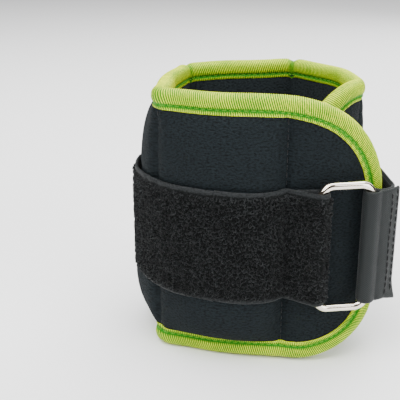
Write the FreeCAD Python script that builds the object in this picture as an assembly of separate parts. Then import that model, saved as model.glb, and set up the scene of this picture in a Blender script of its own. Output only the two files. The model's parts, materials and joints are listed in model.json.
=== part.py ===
"""Ankle cuff weight: four padded weight pockets in a row, a plain flap at each end and a strap closure.

The cuff stands upright on its bottom rim, closed, with +Z up and the wearer's toes towards -Y.
Seen from above, the panels follow one another anticlockwise:
inner flap, right, back, left and front pockets, then the outer flap, which carries the ring.
All lengths are in millimetres and all angles in degrees.
"""
import FreeCAD
import Part
import math
import os

# Driving dimensions of the cuff.
CUFF_HEIGHT = 120.0
POCKET_PITCH = 52.0            # seam to seam, along the inner face
OUTER_FLAP_LENGTH = 39.6       # along the inner face
INNER_FLAP_LENGTH = 35.0
FLAP_BOTTOM_RADIUS = 36.0      # the outer flap's lower corner, in side view
FLAP_TOP_RADIUS = 45.0         # its upper corner
INNER_FLAP_CORNER_RADIUS = 28.0

# Which way each panel's chord points, seen from above and anticlockwise from +X.
HEADINGS = {
    "front": -15.0,
    "left": 260.0,
    "back": 192.0,
    "right": 114.0,
    "outer_flap": 10.0,
    "inner_flap": 35.0,
}

# How far each panel's inner face bows outwards at its middle.
BOWS = {
    "front": 2.4,
    "left": 3.0,
    "back": 3.0,
    "right": 7.5,
    "outer_flap": 4.2,
    "inner_flap": 5.0,
}

# How far each pocket's filling pushes the cover out from the lining.
BULGES = {
    "front": 8.5,
    "left": 9.5,
    "back": 8.5,
    "right": 5.5,
}

# Cloth thicknesses.
LINING = 2.4
COVER = 2.6
FLAP_SKIN = 1.5
BINDING = 1.0
PILE_STRAP = 2.4
WEBBING = 1.6
HOOK_TAPE = 1.2
POUCH_WALL = 0.5

# Edge binding and pocket shape.
BINDING_HEIGHT = 9.0
POCKET_TAPER = 15.0            # height over which a pocket swells from flat to full
SEAM_MARGIN = 1.5              # flat cloth between a seam and the swelling
FILL_MARGIN = 4.0              # between a seam and the filling
FILL_CLEARANCE = 0.2
FILL_EDGE = 0.6                # thickness of the filling at its sides

# Strap and ring.
STRAP_WIDTH = 50.0
STRAP_BOTTOM = 31.0
RING_WIRE = 3.6
RING_GAP_WIDTH = 18.0          # inside the ring, between its two long bars
RING_END_CLEARANCE = 0.7       # between the strap's edge and the ring's short bars
RING_CORNER_RADIUS = 5.0       # at the wire's centre line
RING_BAR_FROM_SEAM = 12.5      # ring seam-side bar, measured along the outer flap
LOOP_CLEARANCE = 0.3           # between a strap loop and the wire
RING_TILT = 6.0                # turns the ring off the flap's own direction at its middle

# Hook strap.
TURNBACK_STRAIGHT = 5.6        # from the bar to where the two layers meet
TURNBACK_SEWN = 12.5           # length of the sewn double layer
STRAP_BEND_RADIUS = 10.5       # where the strap turns round the end of the flap
STRAP_TAIL = 30.0              # length that lies on the right pocket
HOOK_CLEARANCE = 0.4           # between the hook tape and the pile
HOOK_EDGE = 1.0                # webbing left bare along each edge of the hook tape
HOOK_START = 2.0               # from the end of the sewn layer to the hook tape
STITCH_ROWS = [2.5, 6.0]       # from the webbing's cut end to its rows of stitches

# Seams and thread.
HINGE_GAP = 0.6                # between the panels on either side of a seam
THREAD = 0.7
STITCH_LENGTH = 2.6
STITCH_PITCH = 3.8

SANDWICH = LINING + COVER
OUTERMOST = SANDWICH + PILE_STRAP
STRAP_TOP = STRAP_BOTTOM + STRAP_WIDTH
RIM_INSET = BINDING
POCKET_ORDER = ["right", "back", "left", "front"]
REACH = 60.0                   # half the size of a tool solid that cuts at a seam
UP = FreeCAD.Vector(0, 0, 1)


def vec(x, y, z=0.0):
    """Return a point or a direction."""
    return FreeCAD.Vector(x, y, z)


def unit(angle):
    """Return the unit direction at an angle from +X."""
    turn = math.radians(angle)
    return vec(math.cos(turn), math.sin(turn))


def half_turn_of(length, bow):
    """Return half the angle that an arc of a given length turns through, in radians, from its bow."""
    half_turn = 4.0 * bow / length
    for repeat in range(20):
        half_turn = 4.0 * bow / length * (half_turn * half_turn / 2.0) / (1.0 - math.cos(half_turn))
    return half_turn


class Panel:
    """One panel of the cuff: a circular arc seen from above, bowed outwards.

    It is placed by its start or by its end, and its length is measured along the arc.
    """

    def __init__(self, heading, length, bow, start=None, end=None):
        self.heading = heading
        half_turn = half_turn_of(length, bow)
        self.half_angle = math.degrees(half_turn)
        self.radius = length / (2.0 * half_turn)
        chord = unit(heading) * (2.0 * self.radius * math.sin(half_turn))
        self.start = end - chord if start is None else start
        self.end = self.start + chord
        middle = (self.start + self.end) * 0.5
        self.centre = middle + unit(heading + 90.0) * (self.radius - bow)

    def angle_at(self, distance):
        """Return the polar angle reached after a distance along the inner face."""
        return self.heading - 90.0 - self.half_angle + math.degrees(distance / self.radius)

    def arc_length(self):
        """Return the length of the inner face."""
        return math.radians(2.0 * self.half_angle) * self.radius

    def point(self, distance, offset):
        """Return the point at a distance along the inner face and an offset outwards from it."""
        return self.centre + unit(self.angle_at(distance)) * (self.radius + offset)


def prism(edges, bottom, top):
    """Return the upright solid over a closed outline of edges."""
    face = Part.Face(Part.Wire(edges))
    solid = face.extrude(UP * (top - bottom))
    solid.translate(UP * bottom)
    return solid


def polygon_prism(points, bottom, top):
    """Return the upright solid over a polygon."""
    return prism(Part.makePolygon(points + [points[0]]).Edges, bottom, top)


def cylinder(centre, radius, bottom, top):
    """Return an upright cylinder."""
    return Part.makeCylinder(radius, top - bottom, centre + UP * bottom, UP)


def arc(start, middle, end):
    """Return the arc through three points."""
    return Part.Arc(start, middle, end).toShape()


def line(start, end):
    """Return a straight edge."""
    return Part.LineSegment(start, end).toShape()


def band(panel, inner, outer, bottom, top, before=8.0, after=8.0):
    """Return a layer of constant thickness on a panel, run past its ends by before and after."""
    first = -before
    last = panel.arc_length() + after
    middle = (first + last) / 2.0
    edges = [
        arc(panel.point(first, outer), panel.point(middle, outer), panel.point(last, outer)),
        line(panel.point(last, outer), panel.point(last, inner)),
        arc(panel.point(last, inner), panel.point(middle, inner), panel.point(first, inner)),
        line(panel.point(first, inner), panel.point(first, outer)),
    ]
    return prism(edges, bottom, top)


def lens_wire(panel, margin, low, edge, crown, height):
    """Return a swollen layer's outline: low underneath, edge at its sides and crown at its middle."""
    first = margin
    last = panel.arc_length() - margin
    middle = panel.arc_length() / 2.0
    edges = [
        arc(panel.point(first, edge), panel.point(middle, crown), panel.point(last, edge)),
        line(panel.point(last, edge), panel.point(last, low)),
        arc(panel.point(last, low), panel.point(middle, low), panel.point(first, low)),
        line(panel.point(first, low), panel.point(first, edge)),
    ]
    wire = Part.Wire(edges)
    wire.translate(UP * height)
    return wire


def pillow(panel, margin, low, edge, crown, bottom, top):
    """Return a swollen layer that closes to its edge thickness at the bottom and the top."""
    full_bottom = bottom + POCKET_TAPER
    full_top = top - POCKET_TAPER
    wires = [
        lens_wire(panel, margin, low, edge, edge, bottom),
        lens_wire(panel, margin, low, edge, crown, full_bottom),
        lens_wire(panel, margin, low, edge, crown, full_top),
        lens_wire(panel, margin, low, edge, edge, top),
    ]
    return Part.makeLoft(wires, True, True)


class Seam:
    """The upright line where two panels meet, and the plane between them."""

    def __init__(self, corner, before, after, axis_offset):
        heading_in = before.heading + before.half_angle
        heading_out = after.heading - after.half_angle
        turn = (heading_out - heading_in + 180.0) % 360.0 - 180.0
        self.heading = heading_in + turn / 2.0
        self.outwards = unit(self.heading - 90.0)
        self.axis = corner + self.outwards * (axis_offset / math.cos(math.radians(turn / 2.0)))


def side_of(seam, which):
    """Return a large solid on one side of a seam's plane, half the hinge gap clear of it."""
    along = unit(seam.heading) * which
    near = seam.axis + along * (HINGE_GAP / 2.0)
    points = [
        near - seam.outwards * REACH,
        near + seam.outwards * REACH,
        near + seam.outwards * REACH + along * 2.0 * REACH,
        near - seam.outwards * REACH + along * 2.0 * REACH,
    ]
    return polygon_prism(points, -1.0, CUFF_HEIGHT + 1.0)


def one(shape):
    """Return a shape's single solid, tidied, or a compound of its solids."""
    shape = shape.removeSplitter()
    if len(shape.Solids) == 1:
        return shape.Solids[0]
    return Part.makeCompound(shape.Solids)


def lay_out():
    """Return the panels and the seams, laid out backwards and forwards from the outer flap's seam."""
    panels = {}
    flap_corner = vec(0.0, 0.0)
    lengths = {"front": POCKET_PITCH, "left": POCKET_PITCH, "back": POCKET_PITCH, "right": POCKET_PITCH}
    lengths["inner_flap"] = INNER_FLAP_LENGTH
    end = flap_corner
    for name, length in lengths.items():
        panels[name] = Panel(HEADINGS[name], length, BOWS[name], end=end)
        end = panels[name].start
    panels["outer_flap"] = Panel(
        HEADINGS["outer_flap"], OUTER_FLAP_LENGTH, BOWS["outer_flap"], start=flap_corner
    )
    seams = {
        "inner_flap_seam": Seam(panels["right"].start, panels["inner_flap"], panels["right"], -BINDING),
        "right_seam": Seam(panels["back"].start, panels["right"], panels["back"], OUTERMOST),
        "back_seam": Seam(panels["left"].start, panels["back"], panels["left"], OUTERMOST),
        "left_seam": Seam(panels["front"].start, panels["left"], panels["front"], OUTERMOST),
        "flap_seam": Seam(flap_corner, panels["front"], panels["outer_flap"], OUTERMOST),
    }
    return panels, seams


def pocket_limits(name, seams):
    """Return the seams before and after a pocket."""
    before = {"right": "inner_flap_seam", "back": "right_seam", "left": "back_seam", "front": "left_seam"}
    after = {"right": "right_seam", "back": "back_seam", "left": "left_seam", "front": "flap_seam"}
    return seams[before[name]], seams[after[name]]


def make_pocket(name, panels, seams):
    """Return a weight pocket's pieces by node name."""
    panel = panels[name]
    before, after = pocket_limits(name, seams)
    room = side_of(before, 1.0).common(side_of(after, -1.0))
    bulge = BULGES[name]
    rim_bottom = RIM_INSET
    rim_top = CUFF_HEIGHT - RIM_INSET
    swell_bottom = BINDING_HEIGHT
    swell_top = CUFF_HEIGHT - BINDING_HEIGHT

    lining = band(panel, 0.0, LINING, rim_bottom, rim_top).common(room)

    flat_cover = band(panel, LINING, SANDWICH, rim_bottom, rim_top)
    swelling = pillow(panel, SEAM_MARGIN, LINING, SANDWICH, SANDWICH + bulge, swell_bottom, swell_top)
    full_cover = flat_cover.fuse(swelling).common(room)
    cavity = pillow(
        panel, FILL_MARGIN, LINING, LINING + FILL_EDGE, LINING + bulge,
        swell_bottom + COVER, swell_top - COVER,
    )
    cover = full_cover.cut(cavity)

    pouch_low = LINING + FILL_CLEARANCE
    pouch_edge = LINING + FILL_EDGE + POUCH_WALL * 2.0
    pouch = pillow(
        panel, FILL_MARGIN + 2.0, pouch_low, pouch_edge, LINING + bulge - FILL_CLEARANCE,
        swell_bottom + COVER + 1.0, swell_top - COVER - 1.0,
    ).common(cavity)
    filling = pillow(
        panel, FILL_MARGIN + 2.0 + POUCH_WALL, pouch_low + POUCH_WALL, pouch_edge - POUCH_WALL,
        LINING + bulge - FILL_CLEARANCE - POUCH_WALL,
        swell_bottom + COVER + 1.0 + POUCH_WALL * 3.0, swell_top - COVER - 1.0 - POUCH_WALL * 3.0,
    ).common(pouch)
    pouch = pouch.cut(filling)

    wrap = band(panel, -BINDING, SANDWICH + BINDING, 0.0, CUFF_HEIGHT).common(room)
    filled = band(panel, 0.0, SANDWICH, rim_bottom, rim_top)
    wrap = wrap.cut(filled)
    bottom_binding = wrap.common(band(panel, -9.0, 20.0, 0.0, BINDING_HEIGHT))
    top_binding = wrap.common(band(panel, -9.0, 20.0, CUFF_HEIGHT - BINDING_HEIGHT, CUFF_HEIGHT))

    strap = band(panel, SANDWICH, OUTERMOST, STRAP_BOTTOM, STRAP_TOP)
    strap_lens = prism(
        lens_wire(panel, SEAM_MARGIN, LINING, OUTERMOST, OUTERMOST + bulge, 0.0).Edges, STRAP_BOTTOM, STRAP_TOP
    )
    strap = strap.fuse(strap_lens).common(room).cut(full_cover).cut(cavity)

    return {
        name + "_lining": one(lining),
        name + "_cover": one(cover),
        name + "_weight_pouch": one(pouch),
        name + "_iron_shot": one(filling),
        name + "_top_binding": one(top_binding),
        name + "_bottom_binding": one(bottom_binding),
        name + "_pile_strap": one(strap),
    }


def flap_outline(panel, seam_end, free_length, radii, inset):
    """Return a flap's side-view outline as a solid through its thickness, set in by inset all round.

    The flap runs from its seam to a free end whose lower and upper corners have the two radii.
    """
    outwards = unit(panel.heading - 90.0)
    towards_end = unit(panel.heading) * (1.0 if seam_end == "start" else -1.0)
    origin = panel.start if seam_end == "start" else panel.end
    origin = origin - outwards * 30.0

    def place(distance, height):
        """Return a point of the outline."""
        return origin + towards_end * distance + UP * height

    lower = radii[0] - inset
    upper = radii[1] - inset
    far = free_length - inset
    low = inset
    high = CUFF_HEIGHT - inset
    slant = math.sqrt(0.5)
    edges = [
        line(place(-10.0, low), place(far - lower, low)),
        arc(
            place(far - lower, low),
            place(far - lower + lower * slant, low + lower - lower * slant),
            place(far, low + lower),
        ),
        line(place(far, low + lower), place(far, high - upper)),
        arc(
            place(far, high - upper),
            place(far - upper + upper * slant, high - upper + upper * slant),
            place(far - upper, high),
        ),
        line(place(far - upper, high), place(-10.0, high)),
        line(place(-10.0, high), place(-10.0, low)),
    ]
    return Part.Face(Part.Wire(edges)).extrude(outwards * 60.0)


def make_flap(name, panels, seam, seam_end, radii):
    """Return a flap's pieces by node name: two skins, a foam core and the binding round its edge."""
    panel = panels[name]
    which = 1.0 if seam_end == "start" else -1.0
    room = side_of(seam, which)
    length = (panel.end - panel.start).Length
    whole = flap_outline(panel, seam_end, length, radii, 0.0).common(room)
    inside = flap_outline(panel, seam_end, length, radii, BINDING).common(room)
    bare = flap_outline(panel, seam_end, length, radii, BINDING_HEIGHT)

    def layer(inner, outer):
        """Return one layer of the flap."""
        return one(band(panel, inner, outer, 0.0, CUFF_HEIGHT).common(inside))

    binding = band(panel, -BINDING, SANDWICH + BINDING, 0.0, CUFF_HEIGHT).common(whole)
    binding = binding.cut(bare)
    binding = binding.cut(band(panel, 0.0, SANDWICH, 0.0, CUFF_HEIGHT).common(inside))
    return {
        name + "_lining": layer(0.0, FLAP_SKIN),
        name + "_foam": layer(FLAP_SKIN, SANDWICH - FLAP_SKIN),
        name + "_cover": layer(SANDWICH - FLAP_SKIN, SANDWICH),
        name + "_binding": one(binding),
    }


def tangent_point(outside, centre, radius, side):
    """Return where a line from a point outside a circle touches it, on the side given as 1 or -1."""
    away = outside - centre
    distance = away.Length
    spread = math.degrees(math.acos(radius / distance))
    bearing = math.degrees(math.atan2(away.y, away.x))
    return centre + unit(bearing + side * spread) * radius


def ring_places(panels):
    """Return the centre lines of the ring's two long bars and the heading from one to the other."""
    flap = panels["outer_flap"]
    bar_offset = SANDWICH + PILE_STRAP + LOOP_CLEARANCE + RING_WIRE / 2.0
    seam_bar = flap.point(RING_BAR_FROM_SEAM, bar_offset)
    span = RING_GAP_WIDTH + RING_WIRE
    middle_heading = flap.angle_at(RING_BAR_FROM_SEAM + span / 2.0) + 90.0
    direction = unit(middle_heading - RING_TILT)
    strap_bar = seam_bar + direction * span
    return seam_bar, strap_bar, middle_heading - RING_TILT


def make_ring(panels):
    """Return the ring: round wire bent to a rectangle with round corners."""
    seam_bar, strap_bar, heading = ring_places(panels)
    low = STRAP_BOTTOM - RING_END_CLEARANCE - RING_WIRE / 2.0
    high = STRAP_TOP + RING_END_CLEARANCE + RING_WIRE / 2.0
    across = unit(heading)
    turn = RING_CORNER_RADIUS
    slant = turn * (1.0 - math.sqrt(0.5))

    def place(distance, height):
        """Return a point of the wire's centre line."""
        return seam_bar + across * distance + UP * height

    width = (strap_bar - seam_bar).Length
    edges = [
        line(place(0.0, low + turn), place(0.0, high - turn)),
        arc(place(0.0, high - turn), place(slant, high - slant), place(turn, high)),
        line(place(turn, high), place(width - turn, high)),
        arc(place(width - turn, high), place(width - slant, high - slant), place(width, high - turn)),
        line(place(width, high - turn), place(width, low + turn)),
        arc(place(width, low + turn), place(width - slant, low + slant), place(width - turn, low)),
        line(place(width - turn, low), place(turn, low)),
        arc(place(turn, low), place(slant, low + slant), place(0.0, low + turn)),
    ]
    path = Part.Wire(edges)
    profile = Part.Wire(Part.makeCircle(RING_WIRE / 2.0, place(0.0, low + turn), UP))
    return path.makePipeShell([profile], True, False)


def make_ring_loop(panels, seams):
    """Return the end of the pile strap, which leaves the flap, folds round the ring's bar and comes back."""
    flap = panels["outer_flap"]
    seam_bar = ring_places(panels)[0]
    inner_radius = RING_WIRE / 2.0 + LOOP_CLEARANCE
    outer_radius = inner_radius + PILE_STRAP
    root = flap.point(-3.0, SANDWICH)
    root_top = flap.point(0.6, OUTERMOST)
    outer_touch = tangent_point(root_top, seam_bar, outer_radius, 1.0)
    under_bar = flap.point(RING_BAR_FROM_SEAM, SANDWICH)
    under_middle = flap.point(RING_BAR_FROM_SEAM / 2.0, SANDWICH)
    body = prism(
        [
            line(flap.point(-3.0, OUTERMOST), root_top),
            line(root_top, outer_touch),
            line(outer_touch, seam_bar),
            line(seam_bar, under_bar),
            arc(under_bar, under_middle, root),
            line(root, flap.point(-3.0, OUTERMOST)),
        ],
        STRAP_BOTTOM, STRAP_TOP,
    )
    body = body.fuse(cylinder(seam_bar, outer_radius, STRAP_BOTTOM, STRAP_TOP))
    pinch = flap.point(4.6, OUTERMOST + 0.05)
    inner_touch = tangent_point(pinch, seam_bar, inner_radius, 1.0)
    hollow = polygon_prism(
        [pinch, inner_touch, seam_bar, flap.point(RING_BAR_FROM_SEAM, OUTERMOST)], STRAP_BOTTOM, STRAP_TOP
    )
    hollow = hollow.fuse(cylinder(seam_bar, inner_radius, STRAP_BOTTOM, STRAP_TOP))
    loop = body.cut(hollow).cut(band(flap, -5.0, SANDWICH, 0.0, CUFF_HEIGHT))
    return one(loop.common(side_of(seams["flap_seam"], 1.0)))


def tail_circle(panels):
    """Return the centre and the radius of the pile strap's outer face on the right pocket."""
    panel = panels["right"]
    first = panel.point(SEAM_MARGIN, OUTERMOST)
    middle = panel.point(panel.arc_length() / 2.0, OUTERMOST + BULGES["right"])
    last = panel.point(panel.arc_length() - SEAM_MARGIN, OUTERMOST)
    curve = arc(first, middle, last).Curve
    return curve.Center, curve.Radius


class StrapRun:
    """The hook strap's run, seen from above, along the line where its two sewn layers meet.

    It goes straight out from the ring's bar, bends round the end of the flap, runs straight to the
    right pocket and lies on the pile there. Its inner layer is on the left of the run.
    """

    def __init__(self, panels):
        bar, heading = ring_places(panels)[1:]
        self.bar = bar
        self.heading = heading
        self.straight_end = bar + unit(heading) * TURNBACK_STRAIGHT
        self.bend_radius = STRAP_BEND_RADIUS
        self.bend_centre = self.straight_end + unit(heading + 90.0) * self.bend_radius
        pocket_centre, pocket_radius = tail_circle(panels)
        self.tail_centre = pocket_centre
        self.tail_radius = pocket_radius + HOOK_CLEARANCE + HOOK_TAPE + WEBBING
        between = self.tail_centre - self.bend_centre
        bearing = math.degrees(math.atan2(between.y, between.x))
        lean = math.degrees(math.asin((self.tail_radius - self.bend_radius) / between.Length))
        self.free_heading = bearing - lean
        self.tail_turn = math.degrees(STRAP_TAIL / self.tail_radius)

    def bend_edge(self, start_heading, end_heading, offset):
        """Return the bend's arc between two headings, moved to the right by offset."""
        radius = self.bend_radius + offset
        middle = (start_heading + end_heading) / 2.0
        points = [self.bend_centre + unit(h - 90.0) * radius for h in (start_heading, middle, end_heading)]
        return arc(*points)

    def tail_edge(self, offset):
        """Return the tail's arc, moved to the right by offset."""
        radius = self.tail_radius + offset
        first = self.free_heading - 90.0
        turns = (0.0, self.tail_turn / 2.0, self.tail_turn)
        points = [self.tail_centre + unit(first + turn) * radius for turn in turns]
        return arc(*points)

    def ribbon(self, start_heading, inner, outer, bottom, top):
        """Return the layer from a heading in the bend to the tail's end, between two offsets."""
        bend_out = self.bend_edge(start_heading, self.free_heading, outer)
        bend_in = self.bend_edge(start_heading, self.free_heading, inner)
        tail_out = self.tail_edge(outer)
        tail_in = self.tail_edge(inner)

        def ends(edge):
            """Return an edge's first and last points."""
            return edge.Vertexes[0].Point, edge.Vertexes[-1].Point

        edges = [
            bend_out,
            line(ends(bend_out)[1], ends(tail_out)[0]),
            tail_out,
            line(ends(tail_out)[1], ends(tail_in)[1]),
            tail_in,
            line(ends(tail_in)[0], ends(bend_in)[1]),
            bend_in,
            line(ends(bend_in)[0], ends(bend_out)[0]),
        ]
        return prism(Part.__sortEdges__(edges), bottom, top)


def make_hook_strap(panels):
    """Return the hook strap's webbing, its hook tape and its two rows of stitches, by node name."""
    run = StrapRun(panels)
    inner_radius = RING_WIRE / 2.0 + LOOP_CLEARANCE
    outer_radius = inner_radius + WEBBING
    side = unit(run.heading - 90.0)
    outer_corner = run.straight_end + side * WEBBING
    inner_corner = run.straight_end - side * WEBBING
    teardrop = polygon_prism(
        [
            run.bar,
            tangent_point(outer_corner, run.bar, outer_radius, -1.0),
            outer_corner,
            inner_corner,
            tangent_point(inner_corner, run.bar, outer_radius, 1.0),
        ],
        STRAP_BOTTOM, STRAP_TOP,
    )
    teardrop = teardrop.fuse(cylinder(run.bar, outer_radius, STRAP_BOTTOM, STRAP_TOP))
    tip = run.straight_end - unit(run.heading) * 1.0
    hollow = polygon_prism(
        [
            run.bar,
            tangent_point(tip, run.bar, inner_radius, -1.0),
            tip,
            tangent_point(tip, run.bar, inner_radius, 1.0),
        ],
        STRAP_BOTTOM, STRAP_TOP,
    )
    hollow = hollow.fuse(cylinder(run.bar, inner_radius, STRAP_BOTTOM, STRAP_TOP))
    main_layer = run.ribbon(run.heading, -WEBBING, 0.0, STRAP_BOTTOM, STRAP_TOP)
    sewn_turn = math.degrees(TURNBACK_SEWN / run.bend_radius)
    sewn_edges = [
        run.bend_edge(run.heading, run.heading + sewn_turn, WEBBING),
        run.bend_edge(run.heading, run.heading + sewn_turn, 0.0),
    ]
    sewn_edges.append(line(sewn_edges[0].Vertexes[0].Point, sewn_edges[1].Vertexes[0].Point))
    sewn_edges.append(line(sewn_edges[0].Vertexes[-1].Point, sewn_edges[1].Vertexes[-1].Point))
    turnback = prism(Part.__sortEdges__(sewn_edges), STRAP_BOTTOM, STRAP_TOP)
    webbing = teardrop.cut(hollow).fuse(main_layer).fuse(turnback)

    hook_heading = run.heading + sewn_turn + math.degrees(HOOK_START / run.bend_radius)
    hook_tape = run.ribbon(
        hook_heading, -WEBBING - HOOK_TAPE, -WEBBING, STRAP_BOTTOM + HOOK_EDGE, STRAP_TOP - HOOK_EDGE
    )

    stitches = []
    for back in STITCH_ROWS:
        turn = math.degrees((TURNBACK_SEWN - back) / run.bend_radius)
        radius = run.bend_radius + WEBBING + THREAD / 2.0
        foot = run.bend_centre + unit(run.heading + turn - 90.0) * radius
        stitches.extend(stitch_column(foot, STRAP_BOTTOM + 2.0, STRAP_TOP - 2.0))
    return {
        "hook_strap_webbing": one(webbing),
        "hook_tape": one(hook_tape),
        "hook_strap_thread": Part.makeCompound(stitches),
    }


def stitch_column(foot, bottom, top):
    """Return an upright row of stitches above a foot point, spread evenly between two heights."""
    count = int((top - bottom - STITCH_LENGTH) / STITCH_PITCH) + 1
    slack = top - bottom - STITCH_LENGTH - (count - 1) * STITCH_PITCH
    first = bottom + slack / 2.0
    return [
        Part.makeCylinder(THREAD / 2.0, STITCH_LENGTH, foot + UP * (first + index * STITCH_PITCH), UP)
        for index in range(count)
    ]


def build():
    """Return every piece by node name, and the hinge lines by joint name."""
    panels, seams = lay_out()
    pieces = {}
    for name in POCKET_ORDER:
        pieces.update(make_pocket(name, panels, seams))
    outer_radii = (FLAP_BOTTOM_RADIUS, FLAP_TOP_RADIUS)
    inner_radii = (INNER_FLAP_CORNER_RADIUS, INNER_FLAP_CORNER_RADIUS)
    pieces.update(make_flap("outer_flap", panels, seams["flap_seam"], "start", outer_radii))
    pieces.update(make_flap("inner_flap", panels, seams["inner_flap_seam"], "end", inner_radii))
    pieces["ring"] = make_ring(panels)
    pieces["pile_strap_ring_loop"] = make_ring_loop(panels, seams)
    pieces.update(make_hook_strap(panels))
    seam_bar, strap_bar = ring_places(panels)[:2]
    hinges = {name: seam.axis for name, seam in seams.items()}
    hinges["ring_seam_bar"] = seam_bar
    hinges["ring_strap_bar"] = strap_bar
    return pieces, hinges


def main():
    """Build the cuff, centre it over its footprint and write one file for each piece."""
    pieces, hinges = build()
    box = Part.makeCompound(list(pieces.values())).optimalBoundingBox(False)
    shift = vec(-(box.XMin + box.XMax) / 2.0, -(box.YMin + box.YMax) / 2.0, -box.ZMin)
    os.makedirs("parts", exist_ok=True)
    for name, piece in sorted(pieces.items()):
        piece.translate(shift)
        piece.exportStep(os.path.join("parts", name + ".step"))
        print(name, "solids", len(piece.Solids), "valid", piece.isValid(), "mm3", round(piece.Volume))
    for name, place in hinges.items():
        spot = place + shift
        print("hinge", name, round(spot.x, 3), round(spot.y, 3))
    print("size", round(box.XLength, 2), round(box.YLength, 2), round(box.ZLength, 2))


main()
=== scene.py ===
"""Ankle cuff weight: the visual model of a padded cuff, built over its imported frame.

The cuff is one long strip of cloth, wrapped into a ring. Every cloth piece is worked out on the strip
as a distance along it (s), a height (z) and an offset outwards from the middle of its thickness, and
CuffPlan turns those into places. Lengths are in metres unless a name ends in MM.
"""

import enum
import itertools
import json
import logging
import math
from collections.abc import Callable
from dataclasses import dataclass, field

import bpy
import numpy as np
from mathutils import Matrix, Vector


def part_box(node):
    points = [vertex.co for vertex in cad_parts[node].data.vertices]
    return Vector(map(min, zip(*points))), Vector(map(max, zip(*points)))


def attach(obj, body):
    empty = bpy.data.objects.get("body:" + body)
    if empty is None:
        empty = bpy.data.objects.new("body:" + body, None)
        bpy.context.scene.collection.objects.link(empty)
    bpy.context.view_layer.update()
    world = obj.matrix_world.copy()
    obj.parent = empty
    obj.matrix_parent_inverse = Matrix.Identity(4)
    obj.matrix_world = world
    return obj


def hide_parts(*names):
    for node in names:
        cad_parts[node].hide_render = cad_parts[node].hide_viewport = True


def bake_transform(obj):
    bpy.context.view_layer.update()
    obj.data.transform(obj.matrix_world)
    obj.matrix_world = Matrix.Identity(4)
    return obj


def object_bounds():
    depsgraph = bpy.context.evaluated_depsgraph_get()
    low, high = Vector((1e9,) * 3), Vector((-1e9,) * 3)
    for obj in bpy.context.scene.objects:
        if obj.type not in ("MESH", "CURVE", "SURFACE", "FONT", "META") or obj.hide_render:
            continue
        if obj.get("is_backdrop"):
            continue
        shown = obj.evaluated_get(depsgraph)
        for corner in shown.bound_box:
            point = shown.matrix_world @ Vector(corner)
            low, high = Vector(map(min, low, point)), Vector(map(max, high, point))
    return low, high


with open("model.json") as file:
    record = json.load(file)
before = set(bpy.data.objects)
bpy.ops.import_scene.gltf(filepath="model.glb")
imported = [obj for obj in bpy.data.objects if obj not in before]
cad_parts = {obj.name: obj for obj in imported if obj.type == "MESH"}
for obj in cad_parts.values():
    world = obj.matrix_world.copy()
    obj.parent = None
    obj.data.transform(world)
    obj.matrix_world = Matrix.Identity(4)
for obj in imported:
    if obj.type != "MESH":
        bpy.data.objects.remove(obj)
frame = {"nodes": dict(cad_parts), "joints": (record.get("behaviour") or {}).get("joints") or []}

LOG = logging.getLogger("cuff")
MM = 0.001

# Cloth thicknesses and the strip's cross-section.
HALF_SANDWICH = 2.5 * MM
LINING_THICKNESS = 2.3 * MM
COVER_THICKNESS = 2.4 * MM
PILE_BASE = 1.3 * MM
PILE_HEIGHT = 1.1 * MM
WEBBING_THICKNESS = 1.5 * MM
HOOK_TAPE_THICKNESS = 0.7 * MM
SEAM_TO_REFERENCE = 4.9 * MM       # from a pocket seam's hinge line in to the middle of the cloth
FOLD_TO_REFERENCE = 3.5 * MM       # from the inner flap's hinge line out to the middle of the cloth
BINDING_HEIGHT = 8.7 * MM
RIB_PITCH = 0.92 * MM
BLEND_REACH = 5.0 * MM
EDGE_STEP = 0.03 * MM
CLOTH_INSET = 3.0 * MM             # from the cuff's edge to the cloth's own edge, inside the tape
PILE_MARGIN = 2.0 * MM             # plain woven edge beside the loops
FLAP_REACH = 1.0 * MM              # how far the soft flap's end stands past its CAD solid
BOW_SHARES = (0.13, 0.5, 0.87)     # places along a part that its curve passes through
GROOVE_WIDTH = 1.6 * MM            # half width of the groove at a seam
COVER_GROOVE = 1.1 * MM            # its depth in the cover
LINING_GROOVE = 0.5 * MM           # its depth in the lining
PUCKER_HEIGHT = 0.30 * MM
SOFT_HEIGHT = 0.35 * MM
STRAP_PRESS = 0.07                 # share of the swelling that the strap presses flat
RIB_HEIGHT = 0.34 * MM
SPECULAR = 0.12
CLOUD_SCALE = 90.0                 # of the soft noise in every finish, per metre


class Part(enum.Enum):
    """The stretches of the strip, in order along it."""

    INNER_FLAP = "inner_flap"
    RIGHT = "right"
    BACK = "back"
    LEFT = "left"
    FRONT = "front"
    OUTER_FLAP = "outer_flap"


ORDER: tuple[Part, ...] = tuple(Part)
BODY_OF: dict[Part, str] = {
    Part.INNER_FLAP: "inner_flap",
    Part.RIGHT: "right_pocket",
    Part.BACK: "back_pocket",
    Part.LEFT: "left_pocket",
    Part.FRONT: "front_pocket",
    Part.OUTER_FLAP: "outer_flap",
}
JOINT_AFTER: dict[Part, str] = {
    Part.INNER_FLAP: "inner_flap_fold",
    Part.RIGHT: "right_seam_open",
    Part.BACK: "back_seam_open",
    Part.LEFT: "cuff_open",
    Part.FRONT: "flap_open",
}
# How far a part's curve bows out between its seams, and how far its filling pushes the cover out.
BOW: dict[Part, float] = {
    Part.INNER_FLAP: 4.6 * MM,
    Part.RIGHT: 7.0 * MM,
    Part.BACK: 3.4 * MM,
    Part.LEFT: 3.2 * MM,
    Part.FRONT: 2.6 * MM,
    Part.OUTER_FLAP: 4.0 * MM,
}
BULGE: dict[Part, float] = {
    Part.INNER_FLAP: 0.0,
    Part.RIGHT: 6.1 * MM,
    Part.BACK: 9.2 * MM,
    Part.LEFT: 11.4 * MM,
    Part.FRONT: 9.0 * MM,
    Part.OUTER_FLAP: 0.0,
}
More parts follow.
